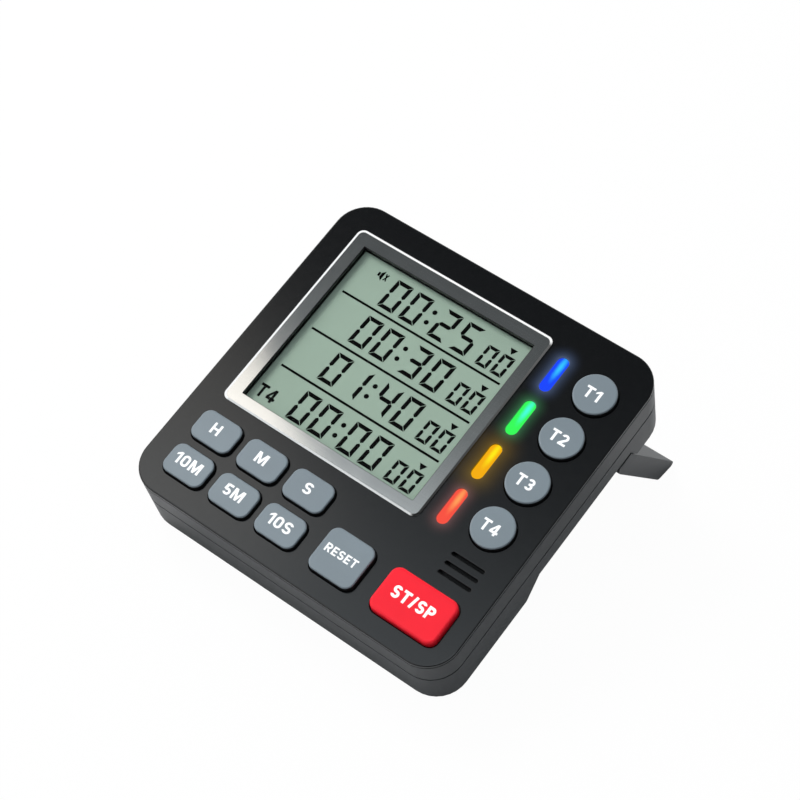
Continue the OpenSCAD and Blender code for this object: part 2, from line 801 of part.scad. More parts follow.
module battery_cells() {
    color("#c7a13a") posed() for (side = [-1, 1])
        translate([side * (spring_l - bump_l) / 2, bay_y + side * cell_pitch / 2, cell_z])
            rotate([0, side * 90, 0]) translate([0, 0, -cell_l / 2]) {
                cylinder(d = cell_d, h = cell_l - nub_l, $fn = 64);
                cylinder(d = nub_d, h = cell_l, $fn = 32);
            }
}

// One contact plate: end of the bay, cell, and how far its button reaches in
module contact_plate(end, side, reach) {
    plate_w = cell_d - 2;
    button_d = 5;
    x = end * (bay_l / 2 - contact_t / 2);
    y = bay_y + side * cell_pitch / 2;
    translate([x, y, cell_z]) {
        cube([contact_t, plate_w, plate_w], center = true);
        translate([-end * contact_t / 2, 0, 0]) rotate([0, -end * 90, 0])
            cylinder(d1 = button_d, d2 = nub_d, h = reach, $fn = 32);
        block([-contact_t / 2, -tab_w / 2, 0], [contact_t / 2, tab_w / 2, board_low - cell_z]);
    }
}

module battery_contacts() {
    color("#d6d9dc") posed() for (end = [-1, 1]) for (side = [-1, 1])
        contact_plate(end, side, end == side ? bump_l : spring_l);
}

// Slots that let the contacts' tabs reach the board
module contact_slots() {
    for (end = [-1, 1]) for (side = [-1, 1])
        translate([end * (bay_l / 2 - contact_t / 2), bay_y + side * cell_pitch / 2, bay_floor])
            cube([contact_t + 2 * fit_gap, tab_w + 2 * fit_gap, 4 * cut], center = true);
}

module battery_door() {
    grip_count = 4;
    grip_pitch = 1.6;
    grip_w = 0.8;
    grip_depth = 0.4;
    grip_l = 16;
    color("#34373a") posed() difference() {
        union() {
            block([-door_w / 2, door_low, -case_t], [door_w / 2, door_high, door_in]);
            block([-door_w / 2 - tongue_w, door_low, door_in - tongue_t],
                  [door_w / 2 + tongue_w, door_high - tongue_end, door_in]);
        }
        for (i = [1:grip_count])
            translate([0, door_high - tongue_end - i * grip_pitch, -case_t])
                block([-grip_l / 2, 0, -cut], [grip_l / 2, grip_w, grip_depth]);
    }
}

module case_screws() {
    color("#9fa4a8") posed() for (p = case_screws_at) difference() {
        union() {
            post(p[0], p[1], case_screw_head_d, -case_screw_seat - case_screw_head_h, -case_screw_seat);
            post(p[0], p[1], case_screw_d,
                 -case_screw_seat - case_screw_head_h / 2, case_boss_top - 2 * screw_gap);
        }
        cross_recess(p[0], p[1], -case_screw_seat - case_screw_head_h, case_screw_head_d, case_screw_head_h);
    }
}

// The stand's side profile: round at the hinge, with a flat foot and soft corners
function stand_profile() = concat(
    arc([hinge_y, hinge_z], stand_t / 2, lean + 90, lean + 270, 2 * arc_steps),
    arc(tip_low, tip_r, lean - 90, -90 - tilt, arc_steps),
    arc(tip_high, heel_r, -90 - tilt, lean + 90, arc_steps)
);

module stand() {
    notch_w = lug_w / 2 + move_gap;
    notch_r = stand_t / 2 + move_gap;
    color("#3a3d40") posed() difference() {
        across_case(stand_profile(), -stand_w / 2, stand_w / 2);
        for (x = [-lug_x, lug_x])
            translate([x, hinge_y, hinge_z]) rotate([lean, 0, 0])
                block([-notch_w, -stand_t, -stand_t], [notch_w, notch_r, stand_t]);
        for (x = [-stand_w / 2, stand_w / 2])
            translate([x, hinge_y, hinge_z])
                block([-relief_w, -stand_t, pin_d / 2 + relief_skin], [relief_w, stand_t, stand_t]);
        for (x = [-stand_w / 2 - cut, stand_w / 2 - pin_l - 2 * pin_inset])
            translate([x, hinge_y, hinge_z]) rotate([0, 90, 0])
                cylinder(d = pin_d + 2 * press_gap, h = pin_l + 2 * pin_inset + cut, $fn = 48);
    }
}

module hinge_pins() {
    color("#c9cdd1") posed() for (x = [-stand_w / 2 + pin_inset, stand_w / 2 - pin_inset - pin_l])
        translate([x, hinge_y, hinge_z]) rotate([0, 90, 0]) cylinder(d = pin_d, h = pin_l, $fn = 48);
}

module light_bar(row) {
    color(light_colours[row]) posed() {
        light_slab(row, 0, board_top + led_h + light_gap, light_proud);
        light_slab(row, light_flange, -panel_t - light_flange_t, -panel_t);
    }
}

module key_cap(key) {
    red = key[0] == "start";
    low = red ? -red_depth : key[6] - cap_t;
    color(red ? "#f0303f" : "#858f99") posed() translate([key[1], key[2], 0])
        soft_slab(key[3], key[4], key[5], low, key[6], red ? red_round : cap_round);
}

module key_stem(key) {
    high = key[0] == "start" ? -red_depth : key[6] - cap_t;
    color("#17191c") posed() {
        key_slab(key, 0, -panel_t, high);
        key_slab(key, flange_w, -panel_t - flange_t, -panel_t);
        post(key[1], key[2], stem_d, stem_end, -panel_t - flange_t / 2);
    }
}

face_panel();
front_case();
rear_case();
bezel_frame();
display_lens();
lcd_panel();
lcd_holder();
zebra_strips();
circuit_board();
board_screws();
tact_switches();
led_chips();
buzzer();
controller_chip();
clock_crystal();
capacitor();
battery_cells();
battery_contacts();
battery_door();
case_screws();
stand();
hinge_pins();
for (row = [0:3]) {
    light_bar(row);
}
for (key = keys) {
    key_cap(key);
    key_stem(key);
}
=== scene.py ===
import json
import math
from collections import namedtuple

import bmesh
import bpy
from mathutils import Euler, Matrix, Vector


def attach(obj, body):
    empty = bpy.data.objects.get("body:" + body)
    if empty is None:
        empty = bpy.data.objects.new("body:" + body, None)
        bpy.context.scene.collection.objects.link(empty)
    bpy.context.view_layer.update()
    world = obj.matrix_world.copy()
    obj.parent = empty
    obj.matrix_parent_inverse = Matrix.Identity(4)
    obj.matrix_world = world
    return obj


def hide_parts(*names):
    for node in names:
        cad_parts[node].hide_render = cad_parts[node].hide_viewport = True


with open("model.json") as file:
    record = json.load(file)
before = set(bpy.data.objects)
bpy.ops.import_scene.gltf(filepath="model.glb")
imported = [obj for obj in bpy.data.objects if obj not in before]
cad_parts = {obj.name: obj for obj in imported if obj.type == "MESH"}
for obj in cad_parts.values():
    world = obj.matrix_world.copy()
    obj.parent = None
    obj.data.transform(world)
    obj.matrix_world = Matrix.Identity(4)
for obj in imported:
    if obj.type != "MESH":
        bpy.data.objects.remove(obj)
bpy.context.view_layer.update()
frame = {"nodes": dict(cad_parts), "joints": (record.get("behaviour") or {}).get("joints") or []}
nodes = frame["nodes"]
joints = {joint["name"]: joint for joint in frame["joints"]}

# The face's own frame in millimetres: X to the right, Y up the face, Z out of the face
MM = 0.001
HINGE = Vector((0, 26.95, -17.2))
PRESS = joints["press_start"]["axis"]
LEAN = math.atan2(PRESS[1], -PRESS[2])
TURN = Matrix.Rotation(LEAN, 4, "X")
FACE_AT = Vector(joints["stand_fold"]["pos_m"]) - TURN @ (HINGE * MM)
FACE = Matrix.Translation(FACE_AT) @ TURN @ Matrix.Scale(MM, 4)
TO_FACE = FACE.inverted()

# Sizes of the looks, in millimetres
CORNER_STEPS = 12
CORNER_SLACK = 0.003
MERGE_GAP = 0.002
SHELL_SOFT = 0.12
CASE_R = 8.2

# Panel: its thickness, rim, shadow groove, softened edges and step, and the gaps round what sits in it
PANEL_T = 2.0
PANEL_EDGE = 0.9
GROOVE_H = 0.18
GROOVE_DEPTH = 0.35
PANEL_ROUND = 0.4
PANEL_STEP = 1.9
RIM_ROUND = 0.12
KEY_GAP = 0.25
FIT_GAP = 0.1

# Bezel, window and display: the slope is at the left and top, the narrower break at the right and bottom
BEZEL_R = 1.8
BEZEL_BORDER = 3.6
BEZEL_SLOPE = 0.7
BEZEL_BREAK = 0.4
BEZEL_DROP = 0.4
WINDOW_SHIFT = (0.4, -0.4)
INNER_SOFT = 0.12
WINDOW_R = 0.15
LENS_R = 0.05
LCD_GAP = 0.15
LCD_DEPTH = 1.5

# Keys and sound slots
KEY_R = 2.3
CAP_ROUND = 0.4
RED_ROUND = 0.7
KEY_BODY_SOFT = 0.08
SLOT_L = 8.9
SLOT_W = 0.9
SLOT_PITCH = 2.55
SLOT_Y = -21.12

# Light bars: the rounding and sinking of the head, and the flange behind the panel
LIGHT_ROUND = 0.25
LIGHT_SINK = 0.5
LIGHT_FLANGE = 0.7
LIGHT_FLANGE_T = 1.0

# Print: the thickness of the ink, the step between its bands, and the pens as shares of a letter's height
INK_T = 0.02
INK_HAIR = 0.002
LEGEND_PEN = 0.195
BOLD_PEN = 0.22
CHANNEL_PEN = 0.2

# Stand
PIN_HOLE_R = 1.2
PIN_COVER = 0.6
STAND_SOFT = 0.3

# Each light: colour at its edge, colour of its core, colour of the glow painted round it on the panel, and
# that painted glow's reach
LIGHTS = {
    "blue": ((0.008, 0.06, 0.97), (0.033, 0.57, 1.0), (0.4, 0.6, 1.15), 4.2),
    "green": ((0.035, 0.97, 0.10), (0.065, 1.0, 0.74), (0.2, 1.0, 0.38), 4.2),
    "amber": ((0.92, 0.42, 0.0), (1.0, 0.84, 0.003), (0.9, 0.52, 0.02), 7.5),
    "red": ((0.94, 0.08, 0.05), (1.0, 0.36, 0.10), (0.85, 0.36, 0.36), 4.2),
}

Outline = namedtuple("Outline", "w h r x y")


def face_box(name):
    """Lowest and highest corner of a solid in the face's frame."""
    points = [TO_FACE @ vertex.co for vertex in nodes[name].data.vertices]
    low = Vector([min(point[i] for point in points) for i in range(3)])
    high = Vector([max(point[i] for point in points) for i in range(3)])
    return low, high


def outline_of(name, r):
    """The rectangle with round corners that a solid fills, seen from the front."""
    low, high = face_box(name)
    size = high - low
    middle = (high + low) / 2
    return Outline(size.x, size.y, r, middle.x, middle.y)


# Mesh tools

def loop(bm, shape, grow, z):
    """Draws an outline, grown all round, at one depth, and returns its edges."""
    drawn = set(bm.faces)
    w = shape.w + 2 * grow
    h = shape.h + 2 * grow
    corners = bmesh.ops.create_grid(bm, x_segments=1, y_segments=1, size=0.5)["verts"]
    bmesh.ops.scale(bm, vec=(w, h, 1), verts=corners)
    bmesh.ops.translate(bm, vec=(shape.x, shape.y, z), verts=corners)
    r = min(max(shape.r + grow, LENS_R), min(w, h) / 2 - CORNER_SLACK)
    bmesh.ops.bevel(
        bm, geom=corners, offset=r, offset_type="OFFSET", affect="VERTICES",
        segments=CORNER_STEPS, profile=0.5, material=-1,
    )
    face = (set(bm.faces) - drawn).pop()
    edges = [corner.edge for corner in face.loops]
    bmesh.ops.delete(bm, geom=[face], context="FACES_ONLY")
    return edges


def skin(bm, stations, closed=False):
    """Joins outlines into a wall: drawn one above another, bridged, then moved to their depths."""
    loops = [loop(bm, shape, grow, level) for level, (shape, grow, _) in enumerate(stations)]
    pairs = list(zip(loops, loops[1:]))
    if closed:
        pairs.append((loops[-1], loops[0]))
    for low, high in pairs:
        bmesh.ops.bridge_loops(bm, edges=low + high)
    for edges, (_, _, z) in zip(loops, stations):
        for vertex in {vertex for edge in edges for vertex in edge.verts}:
            vertex.co.z = z
    return loops


def loft(bm, shape, profile):
    """Skins one outline along a profile of growths and depths; returns its first and last loop."""
    loops = skin(bm, [(shape, grow, z) for grow, z in profile])
    return loops[0], loops[-1]


def rounding(grow, top, r, way, steps=4):
    """Profile of a rounded edge under a top face: way is -1 for an outer edge, 1 for a hole."""
    turns = [math.pi / 2 * step / steps for step in range(steps + 1)]
    return [(grow + way * r * (1 - math.cos(turn)), top - r * (1 - math.sin(turn))) for turn in turns]


def lid(bm, edges):
    """Closes one loop with a flat face."""
    bmesh.ops.contextual_create(bm, geom=edges)


def sheet_with_holes(bm, loops):
    """Fills the flat space between an outer loop and the loops of its holes."""
    border = [edge for edges in loops for edge in edges]
    bmesh.ops.triangle_fill(bm, use_beauty=True, edges=border)
    for edge in border:
        edge.seam = True


def from_node(name):
    """A merged copy of a solid's mesh, in the face's frame."""
    bm = bmesh.new()
    bm.from_mesh(nodes[name].data)
    bm.transform(TO_FACE)
    flat = math.radians(0.5)
    bmesh.ops.remove_doubles(bm, verts=bm.verts, dist=MERGE_GAP)
    bmesh.ops.dissolve_limit(bm, angle_limit=flat, verts=bm.verts, edges=bm.edges)
    return bm


def piece(name, bm, finishes, body, stands_for=(), soften=0.0, sharp=40):
    """Makes an object of a mesh drawn in the face's frame, and rides it on its body."""
    bmesh.ops.recalc_face_normals(bm, faces=bm.faces)
    for edge in bm.edges:
        edge.smooth = not edge.seam and edge.calc_face_angle(0) < math.radians(sharp)
    bm.transform(FACE)
    mesh = bpy.data.meshes.new(name)
    bm.to_mesh(mesh)
    bm.free()
    for finish in finishes:
        mesh.materials.append(finish)
    mesh.shade_smooth()
    made = bpy.data.objects.new(name, mesh)
    bpy.context.scene.collection.objects.link(made)
    if soften:
        bevel = made.modifiers.new("soft edges", "BEVEL")
        bevel.width = soften * MM
        bevel.segments = 2
        bevel.limit_method = "ANGLE"
        bevel.angle_limit = math.radians(sharp)
    normals = made.modifiers.new("even normals", "WEIGHTED_NORMAL")
    normals.keep_sharp = True
    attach(made, body)
    if stands_for:
        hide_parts(*stands_for)


def dressed(node, name, finish, body, soften=SHELL_SOFT):
    """A solid's own shape with softened edges."""
    piece(name, from_node(node), [finish], body, [node], soften)


# Shader tools

def add(tree, kind, inputs=None, **settings):
    """Adds a shader node; an input takes a plain value or another node's output."""
    made = tree.nodes.new("ShaderNode" + kind)
    for name, value in settings.items():
        setattr(made, name, value)
    for name, value in (inputs or {}).items():
        if isinstance(value, bpy.types.NodeSocket):
            tree.links.new(value, made.inputs[name])
        else:
            made.inputs[name].default_value = value
    return made


def math_node(tree, operation, first, second=0.0):
    """The result of one sum on plain values or other nodes' outputs."""
    return add(tree, "Math", {0: first, 1: second}, operation=operation).outputs[0]


def new_group(name, takes, gives):
    """A node group with named inputs (name: kind, value) and outputs (name: kind)."""
    tree = bpy.data.node_groups.new(name, "ShaderNodeTree")
    for label, (kind, value) in takes.items():
        socket = tree.interface.new_socket(label, in_out="INPUT", socket_type="NodeSocket" + kind)
        socket.default_value = value
    for label, kind in gives.items():
        tree.interface.new_socket(label, in_out="OUTPUT", socket_type="NodeSocket" + kind)
    entry = tree.nodes.new("NodeGroupInput").outputs
    leave = tree.nodes.new("NodeGroupOutput").inputs
    return tree, entry, leave


def use(tree, group, **inputs):
    """Places a node group in a material; an underscore in an input's name stands for a space."""
    made = tree.nodes.new("ShaderNodeGroup")
    made.node_tree = group
    for name, value in inputs.items():
        socket = made.inputs[name.replace("_", " ")]
        if isinstance(value, bpy.types.NodeSocket):
            tree.links.new(value, socket)
        else:
            socket.default_value = value
    return made.outputs


def face_point_group():
    """Where a point lies in the face's frame, in millimetres."""
    tree, _, leave = new_group("face point", {}, {"Point": "Vector"})
    spot = add(tree, "TexCoord").outputs["Object"]
    mapping = add(tree, "Mapping", {"Vector": spot}, vector_type="TEXTURE")
    mapping.inputs["Location"].default_value = FACE_AT
    mapping.inputs["Rotation"].default_value = (LEAN, 0, 0)
    mapping.inputs["Scale"].default_value = (MM, MM, MM)
    tree.links.new(mapping.outputs[0], leave["Point"])
    return tree


def moulded_group():
    """Plastic from a spark-eroded mould: fine grain, and slow changes of tone and gloss."""
    tree, entry, leave = new_group(
        "moulded plastic",
        {"Colour": ("Color", (0.1, 0.1, 0.1, 1)), "Gloss": ("Float", 0.4), "Grain": ("Float", 7.0)},
        {"Colour": "Color", "Roughness": "Float", "Height": "Float"},
    )
    spot = use(tree, FACE_POINT)["Point"]
    fine = add(tree, "TexNoise", {"Vector": spot, "Scale": entry["Grain"], "Detail": 3.0})
    slow = add(tree, "TexNoise", {"Vector": spot, "Scale": 0.09, "Detail": 3.0})
    rubbed = add(tree, "TexNoise", {"Vector": spot, "Scale": 0.5, "Detail": 5.0, "Roughness": 0.65})
    tone = add(tree, "MapRange", {"Value": slow.outputs[0], "To Min": 0.9, "To Max": 1.1})
    speck = add(tree, "MapRange", {"Value": fine.outputs[0], "To Min": 0.93, "To Max": 1.07})
    shade = math_node(tree, "MULTIPLY", tone.outputs[0], speck.outputs[0])
    colour = add(tree, "VectorMath", {0: entry["Colour"], 1: shade}, operation="MULTIPLY")
    worn = add(tree, "MapRange", {"Value": rubbed.outputs[0], "To Min": -0.03, "To Max": 0.03})
    rough = math_node(tree, "ADD", entry["Gloss"], worn.outputs[0])
    tree.links.new(colour.outputs[0], leave["Colour"])
    tree.links.new(rough, leave["Roughness"])
    tree.links.new(fine.outputs[0], leave["Height"])
    return tree


def brushed_group():
    """Fine streaks along X, as brushed or drawn metal shows them."""
    tree, entry, leave = new_group(
        "brushed metal",
        {"Colour": ("Color", (0.6, 0.6, 0.6, 1)), "Gloss": ("Float", 0.3)},
        {"Colour": "Color", "Roughness": "Float", "Height": "Float"},
    )
    spot = use(tree, FACE_POINT)["Point"]
    drawn = add(tree, "Mapping", {"Vector": spot, "Scale": (0.05, 9.0, 9.0)})
    streaks = add(tree, "TexNoise", {"Vector": drawn.outputs[0], "Scale": 1.0, "Detail": 4.0})
    cloud = add(tree, "TexNoise", {"Vector": spot, "Scale": 0.12, "Detail": 2.0})
    tone = add(tree, "MapRange", {"Value": streaks.outputs[0], "To Min": 0.9, "To Max": 1.1})
    colour = add(tree, "VectorMath", {0: entry["Colour"], 1: tone.outputs[0]}, operation="MULTIPLY")
    change = add(tree, "MapRange", {"Value": cloud.outputs[0], "To Min": -0.03, "To Max": 0.03})
    rough = math_node(tree, "ADD", entry["Gloss"], change.outputs[0])
    tree.links.new(colour.outputs[0], leave["Colour"])
    tree.links.new(rough, leave["Roughness"])
    tree.links.new(streaks.outputs[0], leave["Height"])
    return tree


def bar_distance_group():
    """Distance from a line of given half length along the face's Y, in millimetres."""
    tree, entry, leave = new_group(
        "distance from a bar",
        {"X": ("Float", 0.0), "Y": ("Float", 0.0), "Half": ("Float", 3.0)},
        {"Distance": "Float"},
    )
    spot = add(tree, "SeparateXYZ", {0: use(tree, FACE_POINT)["Point"]}).outputs
    x = math_node(tree, "SUBTRACT", spot["X"], entry["X"])
    y = math_node(tree, "SUBTRACT", spot["Y"], entry["Y"])
    past = math_node(tree, "SUBTRACT", math_node(tree, "ABSOLUTE", y), entry["Half"])
    past = math_node(tree, "MAXIMUM", past, 0.0)
    flat = add(tree, "CombineXYZ", {"X": x, "Y": past})
    away = add(tree, "VectorMath", {0: flat.outputs[0]}, operation="LENGTH")
    tree.links.new(away.outputs["Value"], leave["Distance"])
    return tree


def core_group():
    """Share of a lit bar's bright core: a soft streak, narrow across and long along the face's Y."""
    tree, entry, leave = new_group(
        "glowing core", {"X": ("Float", 0.0), "Y": ("Float", 0.0)}, {"Share": "Float"},
    )
    width = 1.15
    length = 5.4
    point = use(tree, FACE_POINT)["Point"]
    spot = add(tree, "SeparateXYZ", {0: point}).outputs
    x = math_node(tree, "DIVIDE", math_node(tree, "SUBTRACT", spot["X"], entry["X"]), width)
    y = math_node(tree, "DIVIDE", math_node(tree, "SUBTRACT", spot["Y"], entry["Y"]), length)
    flat = add(tree, "CombineXYZ", {"X": x, "Y": y})
    away = add(tree, "VectorMath", {0: flat.outputs[0]}, operation="LENGTH").outputs["Value"]
    cloud = add(tree, "TexNoise", {"Vector": point, "Scale": 0.8})
    wobble = add(tree, "MapRange", {"Value": cloud.outputs[0], "To Min": -0.1, "To Max": 0.1})
    depth = math_node(tree, "ADD", away, wobble.outputs[0])
    share = add(
        tree, "MapRange",
        {"Value": depth, "From Min": 0.0, "From Max": 1.0, "To Min": 1.0, "To Max": 0.0},
        interpolation_type="SMOOTHSTEP",
    )
    tree.links.new(share.outputs[0], leave["Share"])
    return tree


FACE_POINT = face_point_group()
MOULDED = moulded_group()
BRUSHED = brushed_group()
BAR_DISTANCE = bar_distance_group()
CORE = core_group()


def new_finish(name):
    """A material with its node tree and its shader."""
    made = bpy.data.materials.new(name)
    made.use_nodes = True
    return made, made.node_tree, made.node_tree.nodes["Principled BSDF"]


def bump(tree, height, strength, distance):
    """A normal for the shader from a height, with its depth in millimetres."""
    made = add(tree, "Bump", {"Height": height, "Strength": strength, "Distance": distance * MM})
    return made.outputs[0]


def plastic(name, colour, gloss, grain=7.0, depth=0.01, specular=0.5):
    """Moulded plastic of one colour."""
    made, tree, shader = new_finish(name)
    mould = use(tree, MOULDED, Colour=(*colour, 1), Gloss=gloss, Grain=grain)
    tree.links.new(mould["Colour"], shader.inputs["Base Color"])
    tree.links.new(mould["Roughness"], shader.inputs["Roughness"])
    tree.links.new(bump(tree, mould["Height"], 0.5, depth), shader.inputs["Normal"])
    shader.inputs["Specular IOR Level"].default_value = specular
    return made


def metal(name, colour, gloss, depth=0.004):
    """Brushed or drawn metal of one colour."""
    made, tree, shader = new_finish(name)
    brush = use(tree, BRUSHED, Colour=(*colour, 1), Gloss=gloss)
    tree.links.new(brush["Colour"], shader.inputs["Base Color"])
    tree.links.new(brush["Roughness"], shader.inputs["Roughness"])
    tree.links.new(bump(tree, brush["Height"], 0.3, depth), shader.inputs["Normal"])
    shader.inputs["Metallic"].default_value = 1.0
    return made


def panel_finish(bars):
    """Satin black plastic with a soft glow painted round the lit bars, which the panel emits itself."""
    made = plastic("panel black", (0.0011, 0.0013, 0.0018), 0.17, grain=9.0, depth=0.006)
    tree = made.node_tree
    shader = tree.nodes["Principled BSDF"]
    # The glow round each bar is painted light: the panel emits it, fading with distance from the bar, at this
    # strength.
    level = 0.12
    painted_glow_sum = None
    for bar, colour, painted_glow_reach in bars:
        away = use(tree, BAR_DISTANCE, X=bar.x, Y=bar.y, Half=bar.h / 2 - bar.r)["Distance"]
        painted_glow_fade = add(
            tree, "MapRange",
            {"Value": away, "From Min": bar.r, "From Max": bar.r + painted_glow_reach, "To Min": 1.0, "To Max": 0.0},
        )
        soft = math_node(tree, "POWER", painted_glow_fade.outputs[0], 3.0)
        painted_glow = add(tree, "VectorMath", {0: colour, 1: soft}, operation="MULTIPLY").outputs[0]
        if painted_glow_sum is None:
            painted_glow_sum = painted_glow
        else:
            painted_glow_sum = add(tree, "VectorMath", {0: painted_glow_sum, 1: painted_glow}, operation="ADD").outputs[0]
    tree.links.new(painted_glow_sum, shader.inputs["Emission Color"])
    shader.inputs["Emission Strength"].default_value = level
    return made


def bar_finish(name, bar, edge, core):
    """A lit bar: a bright core towards its upper end, deeper colour at its edge."""
    made, tree, shader = new_finish("light " + name)
    core_aside = 0.2
    core_rise = 2.3
    share = use(tree, CORE, X=bar.x + core_aside, Y=bar.y + core_rise)["Share"]
    mix = add(tree, "Mix", {0: share}, data_type="RGBA")
    mix.inputs[6].default_value = (*edge, 1)
    mix.inputs[7].default_value = (*core, 1)
    tree.links.new(mix.outputs[2], shader.inputs["Emission Color"])
    shader.inputs["Emission Strength"].default_value = 1.0
    shader.inputs["Base Color"].default_value = (0.001, 0.001, 0.001, 1)
    shader.inputs["Specular IOR Level"].default_value = 0.1
    shader.inputs["Roughness"].default_value = 0.35
    return made


def lcd_finish():
    """Reflective display glass: grey green, with a faint unevenness of its rear foil."""
    made, tree, shader = new_finish("lcd glass")
    spot = use(tree, FACE_POINT)["Point"]
    foil = add(tree, "TexNoise", {"Vector": spot, "Scale": 14.0, "Detail": 2.0})
    slow = add(tree, "TexNoise", {"Vector": spot, "Scale": 0.06, "Detail": 2.0})
    speck = add(tree, "MapRange", {"Value": foil.outputs[0], "To Min": 0.97, "To Max": 1.03})
    tone = add(tree, "MapRange", {"Value": slow.outputs[0], "To Min": 0.96, "To Max": 1.04})
    shade = math_node(tree, "MULTIPLY", speck.outputs[0], tone.outputs[0])
    colour = add(tree, "VectorMath", {0: LCD_COLOUR, 1: shade}, operation="MULTIPLY")
    tree.links.new(colour.outputs[0], shader.inputs["Base Color"])
    shader.inputs["Roughness"].default_value = 0.5
    shader.inputs["Specular IOR Level"].default_value = 0.2
    return made


def lens_finish():
    """The clear window, with a trace of wiping marks in its gloss."""
    made, tree, shader = new_finish("clear lens")
    spot = use(tree, FACE_POINT)["Point"]
    wiped = add(tree, "TexNoise", {"Vector": spot, "Scale": 0.15, "Detail": 5.0})
    rough = add(tree, "MapRange", {"Value": wiped.outputs[0], "To Min": 0.03, "To Max": 0.10})
    tree.links.new(rough.outputs[0], shader.inputs["Roughness"])
    shader.inputs["Base Color"].default_value = (0.02, 0.02, 0.02, 1)
    shader.inputs["Alpha"].default_value = 0.06
    return made


def board_finish():
    """Green board with fine copper tracks under the mask."""
    made, tree, shader = new_finish("board green")
    spot = use(tree, FACE_POINT)["Point"]
    tracks = add(tree, "TexBrick", {"Vector": spot, "Scale": 0.35, "Mortar Size": 0.04})
    tracks.inputs["Color1"].default_value = (0.015, 0.14, 0.05, 1)
    tracks.inputs["Color2"].default_value = (0.012, 0.12, 0.045, 1)
    tracks.inputs["Mortar"].default_value = (0.03, 0.22, 0.09, 1)
    tree.links.new(tracks.outputs["Color"], shader.inputs["Base Color"])
    tree.links.new(bump(tree, tracks.outputs["Fac"], 0.4, 0.03), shader.inputs["Normal"])
    shader.inputs["Roughness"].default_value = 0.35
    return made


def cell_finish():
    """Printed sleeve of a dry cell, black with a copper band at one end."""
    made, tree, shader = new_finish("cell sleeve")
    spot = add(tree, "SeparateXYZ", {0: use(tree, FACE_POINT)["Point"]}).outputs
    band = add(tree, "ValToRGB", {0: math_node(tree, "MULTIPLY_ADD", spot["X"], 0.02)})
    band.color_ramp.interpolation = "CONSTANT"
    band.color_ramp.elements[0].color = (0.45, 0.22, 0.06, 1)
    band.color_ramp.elements[1].position = 0.3
    band.color_ramp.elements[1].color = (0.02, 0.02, 0.022, 1)
    tree.links.new(band.outputs[0], shader.inputs["Base Color"])
    shader.inputs["Roughness"].default_value = 0.3
    return made


LCD_COLOUR = (0.343, 0.448, 0.362)


def bar_outline(name):
    """The head of a light bar, inside its flange."""
    whole = outline_of("light_bar_" + name, 0)
    w = whole.w - 2 * LIGHT_FLANGE
    h = whole.h - 2 * LIGHT_FLANGE
    return Outline(w, h, whole.w / 2 - LIGHT_FLANGE, whole.x, whole.y)


BARS = {name: bar_outline(name) for name in LIGHTS}

# The black panel, with a glow painted round each lit bar.
PANEL_BLACK = panel_finish([(BARS[name], painted_glow, painted_glow_reach) for name, (_, _, painted_glow, painted_glow_reach) in LIGHTS.items()])
CASE_GREY = plastic("case grey", (0.042, 0.0425, 0.0445), 0.45, grain=6.0, depth=0.012, specular=0.3)
BEZEL_METAL = metal("bezel metal", (0.64, 0.64, 0.625), 0.09)
BEZEL_POLISHED = metal("bezel polished", (0.94, 0.95, 0.95), 0.12)
BEZEL_EDGE = plastic("bezel inner black", (0.006, 0.006, 0.007), 0.45)
KEY_GREY = plastic("key grey", (0.179, 0.216, 0.242), 0.29, grain=8.0, depth=0.006)
KEY_RED = plastic("key red", (0.88, 0.010, 0.026), 0.38, grain=8.0, depth=0.006, specular=0.25)
KEY_BLACK = plastic("key body black", (0.006, 0.006, 0.007), 0.45)
LEGEND_WHITE = plastic("legend white", (0.98, 0.98, 0.98), 0.55, grain=12.0, depth=0.003)
LCD_GLASS = lcd_finish()
LCD_INK = plastic("lcd ink", (0.001, 0.001, 0.001), 0.5, grain=12.0, depth=0.002, specular=0.0)
CLEAR_LENS = lens_finish()
WHITE_PLASTIC = plastic("white plastic", (0.72, 0.72, 0.69), 0.5)
RUBBER = plastic("connector rubber", (0.55, 0.22, 0.30), 0.6)
BOARD_GREEN = board_finish()
ZINC_STEEL = metal("zinc steel", (0.62, 0.62, 0.60), 0.32)
COMPONENT_BLACK = plastic("component black", (0.012, 0.012, 0.013), 0.5)
COMPONENT_BLUE = plastic("component blue", (0.03, 0.08, 0.30), 0.35)
LED_WHITE = plastic("led white", (0.80, 0.78, 0.66), 0.4)
CELL_SLEEVE = cell_finish()

# Keys: legend, its width and height
LEGENDS = {
    "h": ("H", 2.35, 2.87),
    "m": ("M", 3.0, 2.85),
    "s": ("S", 2.18, 2.85),
    "10m": ("10M", 7.4, 2.97),
    "5m": ("5M", 5.4, 2.9),
    "10s": ("10S", 6.55, 2.92),
    "reset": ("RESET", 8.7, 2.15),
    "start": ("ST/SP", 11.2, 3.08),
    "t1": ("T1", 4.1, 2.97),
    "t2": ("T2", 4.6, 2.97),
    "t3": ("T3", 4.5, 2.97),
    "t4": ("T4", 4.65, 2.97),
}
# How far a legend is printed from the middle of its key
SHIFT = (-0.3, 0.35)
ROUND_SHIFT = (-0.45, -0.27)
ROUND_KEYS = ("t1", "t2", "t3", "t4")


def key_outline(key):
    """A key's cap seen from the front: round for the four channels."""
    shape = outline_of("key_" + key, KEY_R)
    return shape._replace(r=shape.w / 2) if key in ROUND_KEYS else shape


